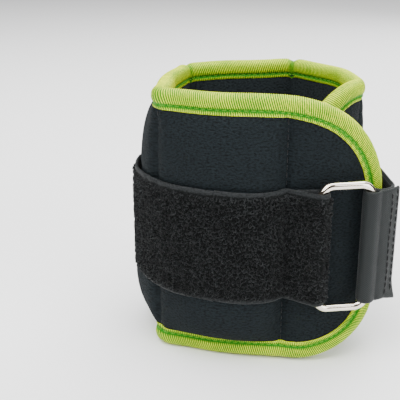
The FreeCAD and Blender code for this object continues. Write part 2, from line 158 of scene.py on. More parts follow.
# How much fuller a pocket is low down, and how hard the edge is gathered at the seam after a part.
SAG: dict[Part, float] = {Part.RIGHT: 0.16, Part.BACK: 0.20, Part.LEFT: 0.32, Part.FRONT: 0.22}
PINCH: dict[Part, float] = {
    Part.INNER_FLAP: 0.2,
    Part.RIGHT: 1.3,
    Part.BACK: 1.0,
    Part.LEFT: 0.35,
    Part.FRONT: 0.1,
}


# ---------------------------------------------------------------------------------------------
# Meshes
# ---------------------------------------------------------------------------------------------


@dataclass
class MeshData:
    """Vertices, faces and optional per-vertex data of one piece.

    Args:
        points: vertex places, one row each.
        quads: vertex numbers of the four-cornered faces.
        caps: longer faces, such as a tube's ends.
        values: named per-vertex numbers.
        uv: per-vertex flat place on the cloth, in millimetres.
    """

    points: np.ndarray
    quads: np.ndarray
    caps: list[list[int]] = field(default_factory=list)
    values: dict[str, np.ndarray] = field(default_factory=dict)
    uv: np.ndarray | None = None


def join(parts: list[MeshData]) -> MeshData:
    """Put several meshes into one.

    Args:
        parts: the meshes, which must carry the same named values.

    Returns:
        One mesh. Each part's face numbers are moved up by the vertices that come before it.
    """
    starts = np.cumsum([0] + [len(p.points) for p in parts[:-1]])
    caps = [[i + int(start) for i in cap] for p, start in zip(parts, starts) for cap in p.caps]
    names = parts[0].values.keys()
    uv = None
    if all(p.uv is not None for p in parts):
        uv = np.concatenate([p.uv for p in parts])
    return MeshData(
        np.concatenate([p.points for p in parts]),
        np.concatenate([p.quads + start for p, start in zip(parts, starts)]),
        caps,
        {name: np.concatenate([p.values[name] for p in parts]) for name in names},
        uv,
    )


def swept(rings: np.ndarray, closed: bool = False) -> MeshData:
    """Skin a row of closed rings into a closed tube.

    Args:
        rings: places, indexed by ring, then round the ring, then axis.
        closed: True if the last ring joins the first, so that no ends are capped.

    Returns:
        The tube. Each face joins point j and j + 1 of ring i to the same points of ring i + 1.
    """
    count, around = rings.shape[:2]
    number = np.arange(count * around).reshape(count, around)
    following = np.roll(number, -1, axis=1)
    here, there = (number, np.roll(number, -1, axis=0)) if closed else (number[:-1], number[1:])
    beyond = np.roll(following, -1, axis=0)
    side, side_there = (following, beyond) if closed else (following[:-1], following[1:])
    quads = np.stack([here, side, side_there, there], axis=-1).reshape(-1, 4)
    caps = [] if closed else [number[0][::-1].tolist(), number[-1].tolist()]
    return MeshData(rings.reshape(-1, 3), quads, caps)


def copies(template: MeshData, origins: np.ndarray, axes: np.ndarray, scales: np.ndarray) -> MeshData:
    """Repeat a small shape over many places.

    Args:
        template: the shape, about its own origin.
        origins: one place for each copy.
        axes: for each copy, its three axes as rows.
        scales: one size for each copy.

    Returns:
        All copies as one mesh. A vertex is the copy's origin plus its scale times the template vertex
        written in the copy's axes.
    """
    count, size = len(origins), len(template.points)
    points = origins[:, None, :] + scales[:, None, None] * np.einsum("vk,nkd->nvd", template.points, axes)
    quads = (template.quads[None] + (np.arange(count) * size)[:, None, None]).reshape(-1, 4)
    caps = [[i + n * size for i in cap] for n in range(count) for cap in template.caps]
    return MeshData(points.reshape(-1, 3), quads, caps)


def to_object(name: str, mesh: MeshData, material: bpy.types.Material) -> bpy.types.Object:
    """Make a smooth-shaded Blender object with outward faces.

    Args:
        name: the piece's name.
        mesh: its geometry.
        material: its material.

    Returns:
        The new object, linked to the scene.
    """
    data = bpy.data.meshes.new(name)
    data.from_pydata(mesh.points.tolist(), [], mesh.quads.tolist() + mesh.caps)
    if len(mesh.quads) and signed_volume(mesh) < 0.0:
        data.flip_normals()
    smooth = np.ones(len(data.polygons), dtype=bool)
    smooth[len(mesh.quads):] = False
    data.polygons.foreach_set("use_smooth", smooth)
    for key, values in mesh.values.items():
        attribute = data.attributes.new(key, "FLOAT", "POINT")
        attribute.data.foreach_set("value", values.astype(np.float32))
    if mesh.uv is not None:
        layer = data.uv_layers.new(name="UVMap")
        corner = np.empty(len(data.loops), dtype=np.int64)
        data.loops.foreach_get("vertex_index", corner)
        layer.data.foreach_set("uv", mesh.uv[corner].astype(np.float32).ravel())
    data.materials.append(material)
    obj = bpy.data.objects.new(name, data)
    bpy.context.scene.collection.objects.link(obj)
    return obj


def signed_volume(mesh: MeshData) -> float:
    """Return the volume inside a mesh's quads, negative where its faces point inwards.

    Each quad is split into two triangles, and a triangle adds a sixth of its corners' triple product.
    """
    centre = mesh.points.mean(axis=0)
    a, b, c, d = (mesh.points[mesh.quads[:, k]] - centre for k in range(4))
    first = np.einsum("ij,ij->i", a, np.cross(b, c))
    second = np.einsum("ij,ij->i", a, np.cross(c, d))
    return float((first + second).sum() / 6.0)


def smoothstep(x: np.ndarray, low: float, high: float) -> np.ndarray:
    """Return 0 below low, 1 above high and a cubic ramp 3t² - 2t³ between them."""
    t = np.clip((x - low) / (high - low), 0.0, 1.0)
    return t * t * (3.0 - 2.0 * t)


def waves(x: np.ndarray, y: np.ndarray, lengths: tuple[float, ...], seed: float) -> np.ndarray:
    """Return smooth unevenness between about -1 and 1: a mean of slanted sine waves of given lengths."""
    total = np.zeros(np.broadcast(x, y).shape)
    for k, length in enumerate(lengths):
        turn = seed + 2.4 * k
        across = x * math.cos(turn) + y * math.sin(turn)
        total += np.sin(2.0 * math.pi * across / length + 5.1 * turn)
    return total / len(lengths)


# ---------------------------------------------------------------------------------------------
# The strip's plan
# ---------------------------------------------------------------------------------------------


def natural_spline(knots: np.ndarray, values: np.ndarray, at: np.ndarray) -> np.ndarray:
    """Return a natural cubic spline through values at knots, read at the given places.

    The second derivatives m solve the usual three-term equations with zero at both ends. Between
    two knots the curve is the cubic that has those second derivatives and passes both values.
    """
    h = np.diff(knots)
    slopes = np.diff(values, axis=0) / h[:, None]
    size = len(knots)
    system = np.eye(size)
    right = np.zeros_like(values)
    inner = np.arange(1, size - 1)
    system[inner, inner - 1] = h[:-1]
    system[inner, inner] = 2.0 * (h[:-1] + h[1:])
    system[inner, inner + 1] = h[1:]
    right[inner] = 6.0 * np.diff(slopes, axis=0)
    m = np.linalg.solve(system, right)
    k = np.clip(np.searchsorted(knots, at) - 1, 0, size - 2)
    t = (at - knots[k])[:, None]
    width = h[k][:, None]
    linear = slopes[k] - width * (2.0 * m[k] + m[k + 1]) / 6.0
    return values[k] + linear * t + m[k] / 2.0 * t**2 + (m[k + 1] - m[k]) / (6.0 * width) * t**3


def joint_place(name: str) -> np.ndarray:
    """Return a joint's place, seen from above."""
    joint = next(j for j in frame["joints"] if j["name"] == name)
    return np.array(joint["pos_m"][:2], dtype=float)


def distance_along(points: np.ndarray) -> np.ndarray:
    """Return each point's distance along the line through the points, from 0."""
    return np.concatenate([[0.0], np.cumsum(np.linalg.norm(np.diff(points, axis=0), axis=1))])


def right_of(direction: np.ndarray) -> np.ndarray:
    """Return the unit vector to the right of each direction."""
    unit = direction / np.linalg.norm(direction, axis=-1, keepdims=True)
    return np.stack([unit[..., 1], -unit[..., 0]], axis=-1)


class CuffPlan:
    """The curve that the middle of the cloth follows, seen from above.

    It runs from the inner flap's end, round the four pockets and to the outer flap's end.
    """

    def __init__(self) -> None:
        """Lay the curve through the seams and through places between them, bowed outwards.

        A place at share t of a part's chord is moved out by 4t(1 - t) times the part's bow.
        """
        self.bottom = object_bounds()[0][2]
        self.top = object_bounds()[1][2]
        hinges = np.array([joint_place(JOINT_AFTER[p]) for p in ORDER[:-1]])
        inner_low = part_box("inner_flap_foam")[0]
        outer_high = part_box("outer_flap_binding")[1]
        inner_end = np.array([inner_low[0] + 0.9 * MM, inner_low[1] + 3.2 * MM])
        outer_end = np.array([outer_high[0] + FLAP_REACH, outer_high[1] - 3.4 * MM])
        ends = np.vstack([inner_end, hinges, outer_end])
        outwards = right_of(ends[2:] - ends[:-2])
        shift = np.full((len(hinges), 1), -SEAM_TO_REFERENCE)
        shift[0] = FOLD_TO_REFERENCE
        ends[1:-1] += outwards * shift
        share = np.array(BOW_SHARES)[None, :, None]
        bow = np.array([BOW[p] for p in ORDER])[:, None, None] * 4.0 * share * (1.0 - share)
        chord = np.diff(ends, axis=0)[:, None, :]
        between = ends[:-1, None, :] + chord * share + right_of(chord) * bow
        step = len(BOW_SHARES) + 1
        points = np.empty((step * len(chord) + 1, 2))
        points[0::step] = ends
        for k in range(len(BOW_SHARES)):
            points[k + 1::step] = between[:, k]
        knots = distance_along(points)
        fine = np.linspace(0.0, knots[-1], 4001)
        curve = natural_spline(knots, points, fine)
        lengths = distance_along(curve)
        self.length = float(lengths[-1])
        self.s = np.linspace(0.0, self.length, 4001)
        self.xy = np.stack([np.interp(self.s, lengths, curve[:, k]) for k in (0, 1)], axis=1)
        self.outwards = right_of(np.gradient(self.xy, self.s, axis=0))
        self.seams = np.interp(knots[step:-1:step], fine, lengths)
        self.flap_top_radius = 45.0 * MM
        self.flap_bottom_radius = 36.0 * MM
        self.inner_flap_radius = 28.0 * MM

    def place(self, s: np.ndarray, z: np.ndarray, offset: np.ndarray) -> np.ndarray:
        """Return the places of points on the strip.

        A place is the curve at s, moved along the outward normal by offset, at height z.
        Past either end the curve is carried on straight.
        """
        inside = np.clip(s, 0.0, self.length)
        x, y = (np.interp(inside, self.s, self.xy[:, k]) for k in (0, 1))
        nx, ny = (np.interp(inside, self.s, self.outwards[:, k]) for k in (0, 1))
        past = s - inside
        return np.stack([x + nx * offset - ny * past, y + ny * offset + nx * past, z + 0.0 * x], axis=-1)

    def normal(self, s: np.ndarray) -> np.ndarray:
        """Return the outward direction at s."""
        nx, ny = (np.interp(s, self.s, self.outwards[:, k]) for k in (0, 1))
        return np.stack([nx, ny, 0.0 * nx], axis=-1)

    def start_of(self, part: Part) -> float:
        """Return where a part begins."""
        index = ORDER.index(part)
        return 0.0 if index == 0 else float(self.seams[index - 1])

    def end_of(self, part: Part) -> float:
        """Return where a part ends."""
        index = ORDER.index(part)
        return self.length if part is Part.OUTER_FLAP else float(self.seams[index])

    def swelling(self, s: np.ndarray, z: np.ndarray) -> np.ndarray:
        """Return how far the pockets' filling pushes the cover out.

        Across a pocket it is (1 - |x|^2.6)^0.75 and up it (1 - |w|^5)^0.55, with x and w from -1 to 1,
        times the pocket's bulge, and 1 - SAG w makes it fuller low down, where the shot settles.
        """
        total = np.zeros(np.broadcast(s, z).shape)
        low = self.bottom + BINDING_HEIGHT
        high = self.top - BINDING_HEIGHT
        w = np.clip(2.0 * (z - low) / (high - low) - 1.0, -1.0, 1.0)
        upright = (1.0 - np.abs(w) ** 5) ** 0.55
        for part in ORDER[1:-1]:
            start, end = self.start_of(part), self.end_of(part)
            x = np.clip(2.0 * (s - start) / (end - start) - 1.0, -1.0, 1.0)
            across = (1.0 - np.abs(x) ** 2.6) ** 0.75
            total = total + BULGE[part] * across * upright * (1.0 - SAG[part] * w)
        return total

    def seam_distance(self, s: np.ndarray) -> np.ndarray:
        """Return the distance from s to the nearest seam."""
        return np.min(np.abs(np.asarray(s)[..., None] - self.seams), axis=-1)

    def heights(self, s: np.ndarray, inset: float) -> tuple[np.ndarray, np.ndarray]:
        """Return the strip's lower and upper edges at s, set in by inset.

        At a flap's end each edge follows a quarter circle: the edge comes in by r - sqrt(r² - a²),
        where a is how far s has gone into the corner.
        """
        def cut(radius: float, from_end: np.ndarray) -> np.ndarray:
            """Return how far a corner brings its edge in."""
            r = radius - inset
            a = np.clip(radius - from_end, 0.0, r)
            return r - np.sqrt(r * r - a * a)

        inner = cut(self.inner_flap_radius, s)
        low = self.bottom + inset + inner + cut(self.flap_bottom_radius, self.length - s)
        high = self.top - inset - inner - cut(self.flap_top_radius, self.length - s)
        return low, high


@dataclass
class Span:
    """A stretch of the strip that crosses one seam, from the middle of one part to the middle of the next.

    Args:
        plan: the strip.
        before: the part before the seam.
        after: the part after it.
    """

    plan: CuffPlan
    before: Part
    after: Part

    @property
    def name(self) -> str:
        """Return the name of the seam that the span crosses."""
        return f"{self.before.value}_to_{self.after.value}"

    @property
    def limits(self) -> tuple[float, float]:
        """Return where the span begins and ends. The flaps' spans run to the strip's ends."""
        first = self.plan.start_of(self.before)
        last = self.plan.end_of(self.after)
        middle_before = (first + self.plan.end_of(self.before)) / 2.0
        middle_after = (self.plan.start_of(self.after) + last) / 2.0
        start = 0.0 if self.before is Part.INNER_FLAP else middle_before
        end = self.plan.length if self.after is Part.OUTER_FLAP else middle_after
        return start, end

    @property
    def seam(self) -> float:
        """Return where the seam is."""
        return self.plan.end_of(self.before)

    def bend(self, obj: bpy.types.Object) -> None:
        """Bake a piece's place into its mesh. The seam's reach on either side is worked out but not used,
        and the piece is not made to bend.
        """
        reach = np.array([self.seam - BLEND_REACH, self.seam + BLEND_REACH])
        start, end = self.plan.place(reach, np.zeros(2), np.zeros(2))
        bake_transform(obj)

    def steps(self, pitch: float, inset: float) -> np.ndarray:
        """Return places along the span, about a pitch apart, closer together at a flap's round end.

        They stop short of a flap's end by the inset. A last narrow step at each end gives the piece's
        edge the surface's own direction, so that two pieces meet without a line.
        """
        start, end = self.limits
        start += inset if self.before is Part.INNER_FLAP else 0.0
        end -= inset if self.after is Part.OUTER_FLAP else 0.0
        count = int(round((end - start) / pitch)) + 1
        t = np.linspace(0.0, 1.0, count)
        if self.after is Part.OUTER_FLAP:
            t = np.sin(t * math.pi / 2.0) * 0.6 + t * 0.4
        if self.before is Part.INNER_FLAP:
            t = (1.0 - np.cos(t * math.pi / 2.0)) * 0.6 + t * 0.4
        even = start + (end - start) * t
        return np.concatenate([even[:1], [start + EDGE_STEP], even[1:-1], [end - EDGE_STEP], even[-1:]])


# ---------------------------------------------------------------------------------------------
# Materials
# ---------------------------------------------------------------------------------------------


@dataclass(frozen=True)
class Finish:
    """One cloth or metal finish.

    Args:
        name: the material's name.
        color: base colour.
        second: colour of the weave's hollows, and the colour that a mesh's painted shade darkens towards.
        roughness: surface roughness.
        sheen: strength of the fibres' soft edge glow.
        metallic: 1 for metal.
        weave: name of the weave group's pattern.
        pitch: the weave's pitch in millimetres.
        bump: the weave's height in millimetres.
    """

    name: str
    color: tuple[float, float, float]
    second: tuple[float, float, float]
    roughness: float
    sheen: float = 0.0
    metallic: float = 0.0
    weave: str = "grain"
    pitch: float = 1.0
    bump: float = 0.05


NEOPRENE = Finish(
    "neoprene", (0.0078, 0.0118, 0.0138), (0.0000, 0.0002, 0.0004),
    0.85, 0.0, 0.0, "knit", 1.05, 0.34,
)
LINING = Finish(
    "neoprene_lining", (0.0140, 0.0190, 0.0215), (0.0010, 0.0016, 0.0022),
    0.85, 0.02, 0.0, "knit", 1.15, 0.16,
)
# Its hollows' colour is also the painted shade of the tape's rib hollows, seam gathers and stitch groove.
LIME = Finish(
    "lime_binding", (0.90, 0.96, 0.004), (0.010, 0.17, 0.002),
    0.50, 0.03, 0.0, "fibre", 0.30, 0.03,
)
PILE = Finish(
    "loop_pile", (0.025, 0.028, 0.029), (0.0014, 0.0018, 0.0020),
    0.75, 0.05, 0.0, "fibre", 0.5, 0.05,
)
SELVEDGE = Finish(
    "strap_base", (0.017, 0.019, 0.020), (0.002, 0.003, 0.003),
    0.70, 0.04, 0.0, "knit", 0.9, 0.12,
)
WEBBING = Finish(
    "webbing", (0.016, 0.019, 0.019), (0.0010, 0.0016, 0.0020),
    0.46, 0.05, 0.0, "twill", 0.85, 0.16,
)
HOOK = Finish(
    "hook_tape", (0.019, 0.019, 0.020), (0.007, 0.007, 0.007),
    0.36, 0.0, 0.0, "grain", 0.50, 0.06,
)
THREAD = Finish(
    "dark_thread", (0.008, 0.008, 0.009), (0.002, 0.002, 0.002),
    0.50, 0.10, 0.0, "ply", 0.45, 0.06,
)
GREEN_THREAD = Finish(
    "green_thread", (0.12, 0.40, 0.012), (0.04, 0.14, 0.004),
    0.55, 0.10, 0.0, "ply", 0.45, 0.06,
)
NICKEL = Finish(
    "bright_nickel", (0.84, 0.77, 0.66), (0.66, 0.60, 0.52),
    0.10, 0.0, 1.0, "grain", 0.70, 0.004,
)
SHOT = Finish(
    "iron_shot", (0.19, 0.18, 0.17), (0.06, 0.06, 0.06),
    0.5, 0.0, 1.0, "grain", 0.45, 0.05,
)
POUCH = Finish(
    "pouch_cloth", (0.24, 0.25, 0.26), (0.10, 0.10, 0.11),
    0.6, 0.1, 0.0, "twill", 0.8, 0.12,
)


Value = bpy.types.NodeSocket | float    # what a math node takes


class Palette:
    """Makes each material once, and the shared weave groups that they use."""

    def __init__(self) -> None:
        """Start with no materials made."""
        self._made: dict[str, bpy.types.Material] = {}
        self._groups: dict[str, bpy.types.NodeTree] = {
            "knit": self._knit(),
            "twill": self._twill(),
            "fibre": self._fibre(),
            "grain": self._grain(),
            "ply": self._ply(),
        }

    @staticmethod
    def _group(name: str) -> tuple[bpy.types.NodeTree, bpy.types.Node, bpy.types.Node]:
        """Return a new group that takes a place in millimetres and a pitch and gives a height."""
        tree = bpy.data.node_groups.new(name, "ShaderNodeTree")
        tree.interface.new_socket("Place", in_out="INPUT", socket_type="NodeSocketVector")
        tree.interface.new_socket("Pitch", in_out="INPUT", socket_type="NodeSocketFloat")
        tree.interface.new_socket("Height", in_out="OUTPUT", socket_type="NodeSocketFloat")
        return tree, tree.nodes.new("NodeGroupInput"), tree.nodes.new("NodeGroupOutput")

    @staticmethod
    def _math(
        tree: bpy.types.NodeTree,
        kind: str,
        a: Value,
        b: Value | None = None,
    ) -> bpy.types.NodeSocket:
        """Add a math node. Each of a and b is a socket or a number."""
        node = tree.nodes.new("ShaderNodeMath")
        node.operation = kind
        for index, value in enumerate((a, b)):
            if value is None:
                continue
            if isinstance(value, (int, float)):
                node.inputs[index].default_value = value
            else:
                tree.links.new(value, node.inputs[index])
        return node.outputs[0]

    def _mul(self, tree: bpy.types.NodeTree, a: Value, b: Value) -> bpy.types.NodeSocket:
        """Return a times b."""
        return self._math(tree, "MULTIPLY", a, b)

    def _add(self, tree: bpy.types.NodeTree, a: Value, b: Value) -> bpy.types.NodeSocket:
        """Return a plus b."""
        return self._math(tree, "ADD", a, b)

    def _sine(self, tree: bpy.types.NodeTree, a: Value) -> bpy.types.NodeSocket:
        """Return the sine of a."""
        return self._math(tree, "SINE", a)

    @staticmethod
    def _noise(
        tree: bpy.types.NodeTree, place: bpy.types.NodeSocket, scale: float, detail: float
    ) -> bpy.types.NodeSocket:
        """Add a noise node."""
        noise = tree.nodes.new("ShaderNodeTexNoise")
        noise.inputs["Scale"].default_value = scale
        noise.inputs["Detail"].default_value = detail
        tree.links.new(place, noise.inputs["Vector"])
        return noise.outputs[0]

    @staticmethod
    def _times(tree: bpy.types.NodeTree, place: bpy.types.NodeSocket) -> bpy.types.Node:
        """Add a node that multiplies a place by its Scale."""
        scale = tree.nodes.new("ShaderNodeVectorMath")
        scale.operation = "SCALE"
        tree.links.new(place, scale.inputs[0])
        return scale

    def _stretched(
        self, tree: bpy.types.NodeTree, x: bpy.types.NodeSocket, y: bpy.types.NodeSocket, factor: float
    ) -> bpy.types.NodeSocket:
        """Return the place (x, y times a factor, 0)."""
        place = tree.nodes.new("ShaderNodeCombineXYZ")
        tree.links.new(x, place.inputs[0])
        tree.links.new(self._mul(tree, y, factor), place.inputs[1])
        return place.outputs[0]

    def _scaled(
        self, tree: bpy.types.NodeTree, entry: bpy.types.Node
    ) -> tuple[bpy.types.NodeSocket, bpy.types.NodeSocket]:
        """Return the place's two coordinates, counted in pitches."""
        split = tree.nodes.new("ShaderNodeSeparateXYZ")
        tree.links.new(entry.outputs["Place"], split.inputs[0])
        return tuple(self._math(tree, "DIVIDE", split.outputs[k], entry.outputs["Pitch"]) for k in (0, 1))

    def _knit(self) -> bpy.types.NodeTree:
        """Return fine knit: small bumps in offset rows, sin(x) sin(y), broken up by grainy noise."""
        tree, entry, out = self._group("KnitHeight")
        x, y = self._scaled(tree, entry)
        noise = self._noise(tree, self._stretched(tree, x, y, 1.6), 0.9, 2.0)
        up, over = self._mul(tree, y, 1.5), self._mul(tree, x, 0.5)
        slanted = self._add(tree, up, over)
        column = self._sine(tree, self._mul(tree, x, 2.0 * math.pi))
        row = self._sine(tree, self._mul(tree, slanted, 2.0 * math.pi))
        stitch = self._mul(tree, self._mul(tree, column, row), 0.25)
        grain = self._mul(tree, self._math(tree, "SUBTRACT", noise, 0.5), 3.2)
        tree.links.new(self._add(tree, self._add(tree, stitch, grain), 0.5), out.inputs["Height"])
        return tree

    def _twill(self) -> bpy.types.NodeTree:
        """Return twill: slanted ridges crossed by fine cords along the strap."""
        tree, entry, out = self._group("TwillHeight")
        x, y = self._scaled(tree, entry)
        slanted = self._add(tree, x, self._mul(tree, y, 0.9))
        ridge = self._sine(tree, self._mul(tree, slanted, 2.0 * math.pi))
        cord = self._sine(tree, self._mul(tree, y, 5.2 * math.pi))
        ridges, cords = self._mul(tree, ridge, 0.32), self._mul(tree, cord, 0.16)
        both = self._add(tree, ridges, cords)
        tree.links.new(self._add(tree, both, 0.5), out.inputs["Height"])
        return tree

    def _fibre(self) -> bpy.types.NodeTree:
        """Return fine fibres: stretched noise, one pitch wide and ten pitches long."""
        tree, entry, out = self._group("FibreHeight")
        x, y = self._scaled(tree, entry)
        noise = self._noise(tree, self._stretched(tree, x, y, 0.1), 1.0, 2.0)
        tree.links.new(noise, out.inputs["Height"])
        return tree

    def _grain(self) -> bpy.types.NodeTree:
        """Return the fine unevenness of moulded plastic or plated metal: noise, one pitch wide."""
        tree, entry, out = self._group("GrainHeight")
        tree.links.new(self._noise(tree, self._counted(tree, entry), 1.0, 3.0), out.inputs["Height"])
        return tree

    def _ply(self) -> bpy.types.NodeTree:
        """Return a thread's twisted plies: half of 1 + sin(x + y + z), bent a little by noise."""
        tree, entry, out = self._group("PlyHeight")
        place = self._counted(tree, entry)
        noise = self._noise(tree, place, 0.7, 2.0)
        split = tree.nodes.new("ShaderNodeSeparateXYZ")
        tree.links.new(place, split.inputs[0])
        flat = self._add(tree, split.outputs[0], split.outputs[1])
        total = self._add(tree, flat, split.outputs[2])
        turn = self._mul(tree, self._add(tree, total, noise), 2.0 * math.pi)
        wave = self._mul(tree, self._sine(tree, turn), 0.5)
        tree.links.new(self._add(tree, wave, 0.5), out.inputs["Height"])
        return tree

    def _counted(self, tree: bpy.types.NodeTree, entry: bpy.types.Node) -> bpy.types.NodeSocket:
        """Return the place divided by the pitch, as a vector."""
        scale = self._times(tree, entry.outputs["Place"])
        tree.links.new(self._math(tree, "DIVIDE", 1.0, entry.outputs["Pitch"]), scale.inputs["Scale"])
        return scale.outputs[0]

    def material(self, finish: Finish) -> bpy.types.Material:
        """Return a finish's material, making it the first time.

        The colour goes from the hollows' to the base colour with the weave's height, which large soft
        noise varies a little. Where a mesh carries a "shade" value, it darkens the colour towards the
        hollows' colour: painted shade on the binding's ribs, stitch groove and seam gathers, on the pile
        strap's ground and at the pile loops' feet, plus a random tone for each pile loop.
        """
        if finish.name in self._made:
            return self._made[finish.name]
        material = bpy.data.materials.new(finish.name)
        material.use_nodes = True
        tree = material.node_tree
        shader = tree.nodes["Principled BSDF"]
        shader.inputs["Roughness"].default_value = finish.roughness
        shader.inputs["Metallic"].default_value = finish.metallic
        shader.inputs["Sheen Weight"].default_value = finish.sheen
        shader.inputs["Sheen Roughness"].default_value = 0.5
        shader.inputs["Specular IOR Level"].default_value = SPECULAR
        shader.inputs["Base Color"].default_value = (*finish.color, 1.0)
        self._weave(tree, shader, finish)
        self._made[finish.name] = material
        return material

    def _weave(self, tree: bpy.types.NodeTree, shader: bpy.types.Node, finish: Finish) -> None:
        """Add a weave's colour and bump to a material."""
        where = tree.nodes.new("ShaderNodeTexCoord")
        weave = tree.nodes.new("ShaderNodeGroup")
        weave.node_tree = self._groups[finish.weave]
        weave.inputs["Pitch"].default_value = finish.pitch
        if finish.weave in ("grain", "ply"):
            solid = self._times(tree, where.outputs["Object"])
            solid.inputs["Scale"].default_value = 1.0 / MM
            tree.links.new(solid.outputs[0], weave.inputs["Place"])
        else:
            uv = tree.nodes.new("ShaderNodeUVMap")
            uv.uv_map = "UVMap"
            tree.links.new(uv.outputs[0], weave.inputs["Place"])
        cloud = self._noise(tree, where.outputs["Object"], CLOUD_SCALE, 3.0)
        shade = tree.nodes.new("ShaderNodeAttribute")
        shade.attribute_name = "shade"
        varied = self._add(tree, cloud, 0.5)
        mixed = self._mul(tree, weave.outputs["Height"], varied)
        mixed = self._math(tree, "SUBTRACT", mixed, shade.outputs["Fac"])
        ramp = tree.nodes.new("ShaderNodeMix")
        ramp.data_type = "RGBA"
        ramp.inputs[6].default_value = (*finish.second, 1.0)
        ramp.inputs[7].default_value = (*finish.color, 1.0)
        tree.links.new(self._add(tree, mixed, 0.25), ramp.inputs[0])
        tree.links.new(ramp.outputs[2], shader.inputs["Base Color"])
        bump = tree.nodes.new("ShaderNodeBump")
        bump.inputs["Strength"].default_value = 0.8
        bump.inputs["Distance"].default_value = finish.bump * MM
        tree.links.new(weave.outputs["Height"], bump.inputs["Height"])
        tree.links.new(bump.outputs[0], shader.inputs["Normal"])


# ---------------------------------------------------------------------------------------------
# Cloth pieces
# ---------------------------------------------------------------------------------------------

STRAP_LOW, STRAP_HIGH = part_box("front_pile_strap")[0][2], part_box("front_pile_strap")[1][2]


def cover_offset(plan: CuffPlan, s: np.ndarray, z: np.ndarray) -> np.ndarray:
    """Return the cover's outer surface as an offset from the middle of the cloth.

    It is the flat cloth plus the pocket's swelling, drawn in to a groove at the seams (a bell curve
    1.6 mm wide), pressed by the strap, and puckered near the seams by waves that fall off over 6 mm.
    """
    swelling = plan.swelling(s, z)
    near = plan.seam_distance(s)
    groove = COVER_GROOVE * np.exp(-((near / GROOVE_WIDTH) ** 2))
    pressed = smoothstep(z, STRAP_LOW - 5 * MM, STRAP_LOW + 2 * MM) * (
        1.0 - smoothstep(z, STRAP_HIGH - 2 * MM, STRAP_HIGH + 5 * MM)
    )
    pucker = PUCKER_HEIGHT * np.exp(-near / (6.0 * MM)) * waves(
        z, 0.0 * s, (7.3 * MM, 10.9 * MM, 15.1 * MM), 0.3
    )
    lumps = SOFT_HEIGHT * waves(s, z, (31 * MM, 47 * MM, 23 * MM), 1.1)
    soft = lumps * np.clip(swelling / (6 * MM), 0.0, 1.0)
    puffed = HALF_SANDWICH + swelling * (1.0 - STRAP_PRESS * pressed)
    return puffed - groove + (pucker * (1.0 - pressed) + soft)


def sheet_mesh(
    plan: CuffPlan,
    s: np.ndarray,
    low: np.ndarray,
    high: np.ndarray,
    rows: int,
    outer: Callable[[np.ndarray, np.ndarray], np.ndarray],
    inner: Callable[[np.ndarray, np.ndarray], np.ndarray],
) -> MeshData:
    """Build a closed layer of cloth over part of the strip.

    Args:
        plan: the strip.
        s: places along it, one for each ring.
        low: the layer's lower edge at each place.
        high: its upper edge.
        rows: points from the lower edge to the upper one.
        outer: function of s and z that gives the outer face's offset.
        inner: the same for the inner face.

    Returns:
        The layer. Each ring runs up the outer face and down the inner one.
    """
    w = np.linspace(0.0, 1.0, rows)[None, :]
    z = low[:, None] + (high - low)[:, None] * w
    along = np.repeat(s[:, None], rows, axis=1)
    front = plan.place(along, z, outer(along, z))
    back = plan.place(along, z, inner(along, z))
    mesh = swept(np.concatenate([front, back[:, ::-1]], axis=1))
    flat = np.stack([along, z], axis=-1) / MM
    mesh.uv = np.concatenate([flat, flat[:, ::-1]], axis=1).reshape(-1, 2)
    return mesh


@dataclass
class Shell:
    """The stretched outer cover and the inner lining.

    Args:
        plan: the strip.
        palette: the materials.
        spans: the stretches that the cloth is cut into.
    """

    plan: CuffPlan
    palette: Palette
    spans: list[Span]

    def build(self) -> list[bpy.types.Object]:
        """Make every cover and lining piece.

        Returns:
            The new objects.
        """
        made = []
        for span in self.spans:
            made.append(self._cover(span))
            made.append(self._lining(span))
        return made

    @staticmethod
    def _nodes(span: Span, kinds: tuple[str, ...]) -> list[str]:
        """Return the CAD nodes of some kinds in a span's two parts."""
        wanted = [f"{part.value}_{kind}" for part in (span.before, span.after) for kind in kinds]
        return [name for name in wanted if name in frame["nodes"]]

    def _cover(self, span: Span) -> bpy.types.Object:
        """Make one cover piece. Its inner face follows the outer one, but stays on the lining."""
        plan = self.plan
        s = span.steps(0.8 * MM, CLOTH_INSET)
        low, high = plan.heights(s, CLOTH_INSET)

        def outer(along: np.ndarray, z: np.ndarray) -> np.ndarray:
            """Return the cover's face."""
            return cover_offset(plan, along, z)

        def inner(along: np.ndarray, z: np.ndarray) -> np.ndarray:
            """Return the cover's back, never behind the sandwich's middle."""
            return np.maximum(cover_offset(plan, along, z) - COVER_THICKNESS, 0.05 * MM)

        mesh = sheet_mesh(plan, s, low, high, 150, outer, inner)
        obj = to_object(f"cover_{span.name}", mesh, self.palette.material(NEOPRENE))
        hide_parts(*self._nodes(span, ("cover", "foam")))
        span.bend(obj)
        return obj

    def _lining(self, span: Span) -> bpy.types.Object:
        """Make one lining piece. Its inner face is pushed in a little by the filling."""
        plan = self.plan
        s = span.steps(1.2 * MM, CLOTH_INSET)
        low, high = plan.heights(s, CLOTH_INSET)

        def inner(along: np.ndarray, z: np.ndarray) -> np.ndarray:
            """Return the lining's inner face."""
            puff = 0.14 * plan.swelling(along, z)
            groove = LINING_GROOVE * np.exp(-((plan.seam_distance(along) / GROOVE_WIDTH) ** 2))
            return -HALF_SANDWICH - puff + groove

        def outer(along: np.ndarray, z: np.ndarray) -> np.ndarray:
            """Return the lining's back."""
            return 0.0 * along - HALF_SANDWICH + LINING_THICKNESS

        mesh = sheet_mesh(plan, s, low, high, 110, outer, inner)
        obj = to_object(f"lining_{span.name}", mesh, self.palette.material(LINING))
        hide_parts(*self._nodes(span, ("lining",)))
        span.bend(obj)
        return obj


@dataclass
class Route:
    """A line drawn on the strip, with the direction across it, towards the middle of the cloth.

    Args:
        s: places along the strip.
        z: heights.
        across_s: the across direction's part along the strip.
        across_z: its upright part.
        length: distance along the line.
        rib: the ribs' own distance, which runs on from one piece of tape to the next.
    """

    s: np.ndarray
    z: np.ndarray
    across_s: np.ndarray
    across_z: np.ndarray
    length: np.ndarray
    rib: np.ndarray


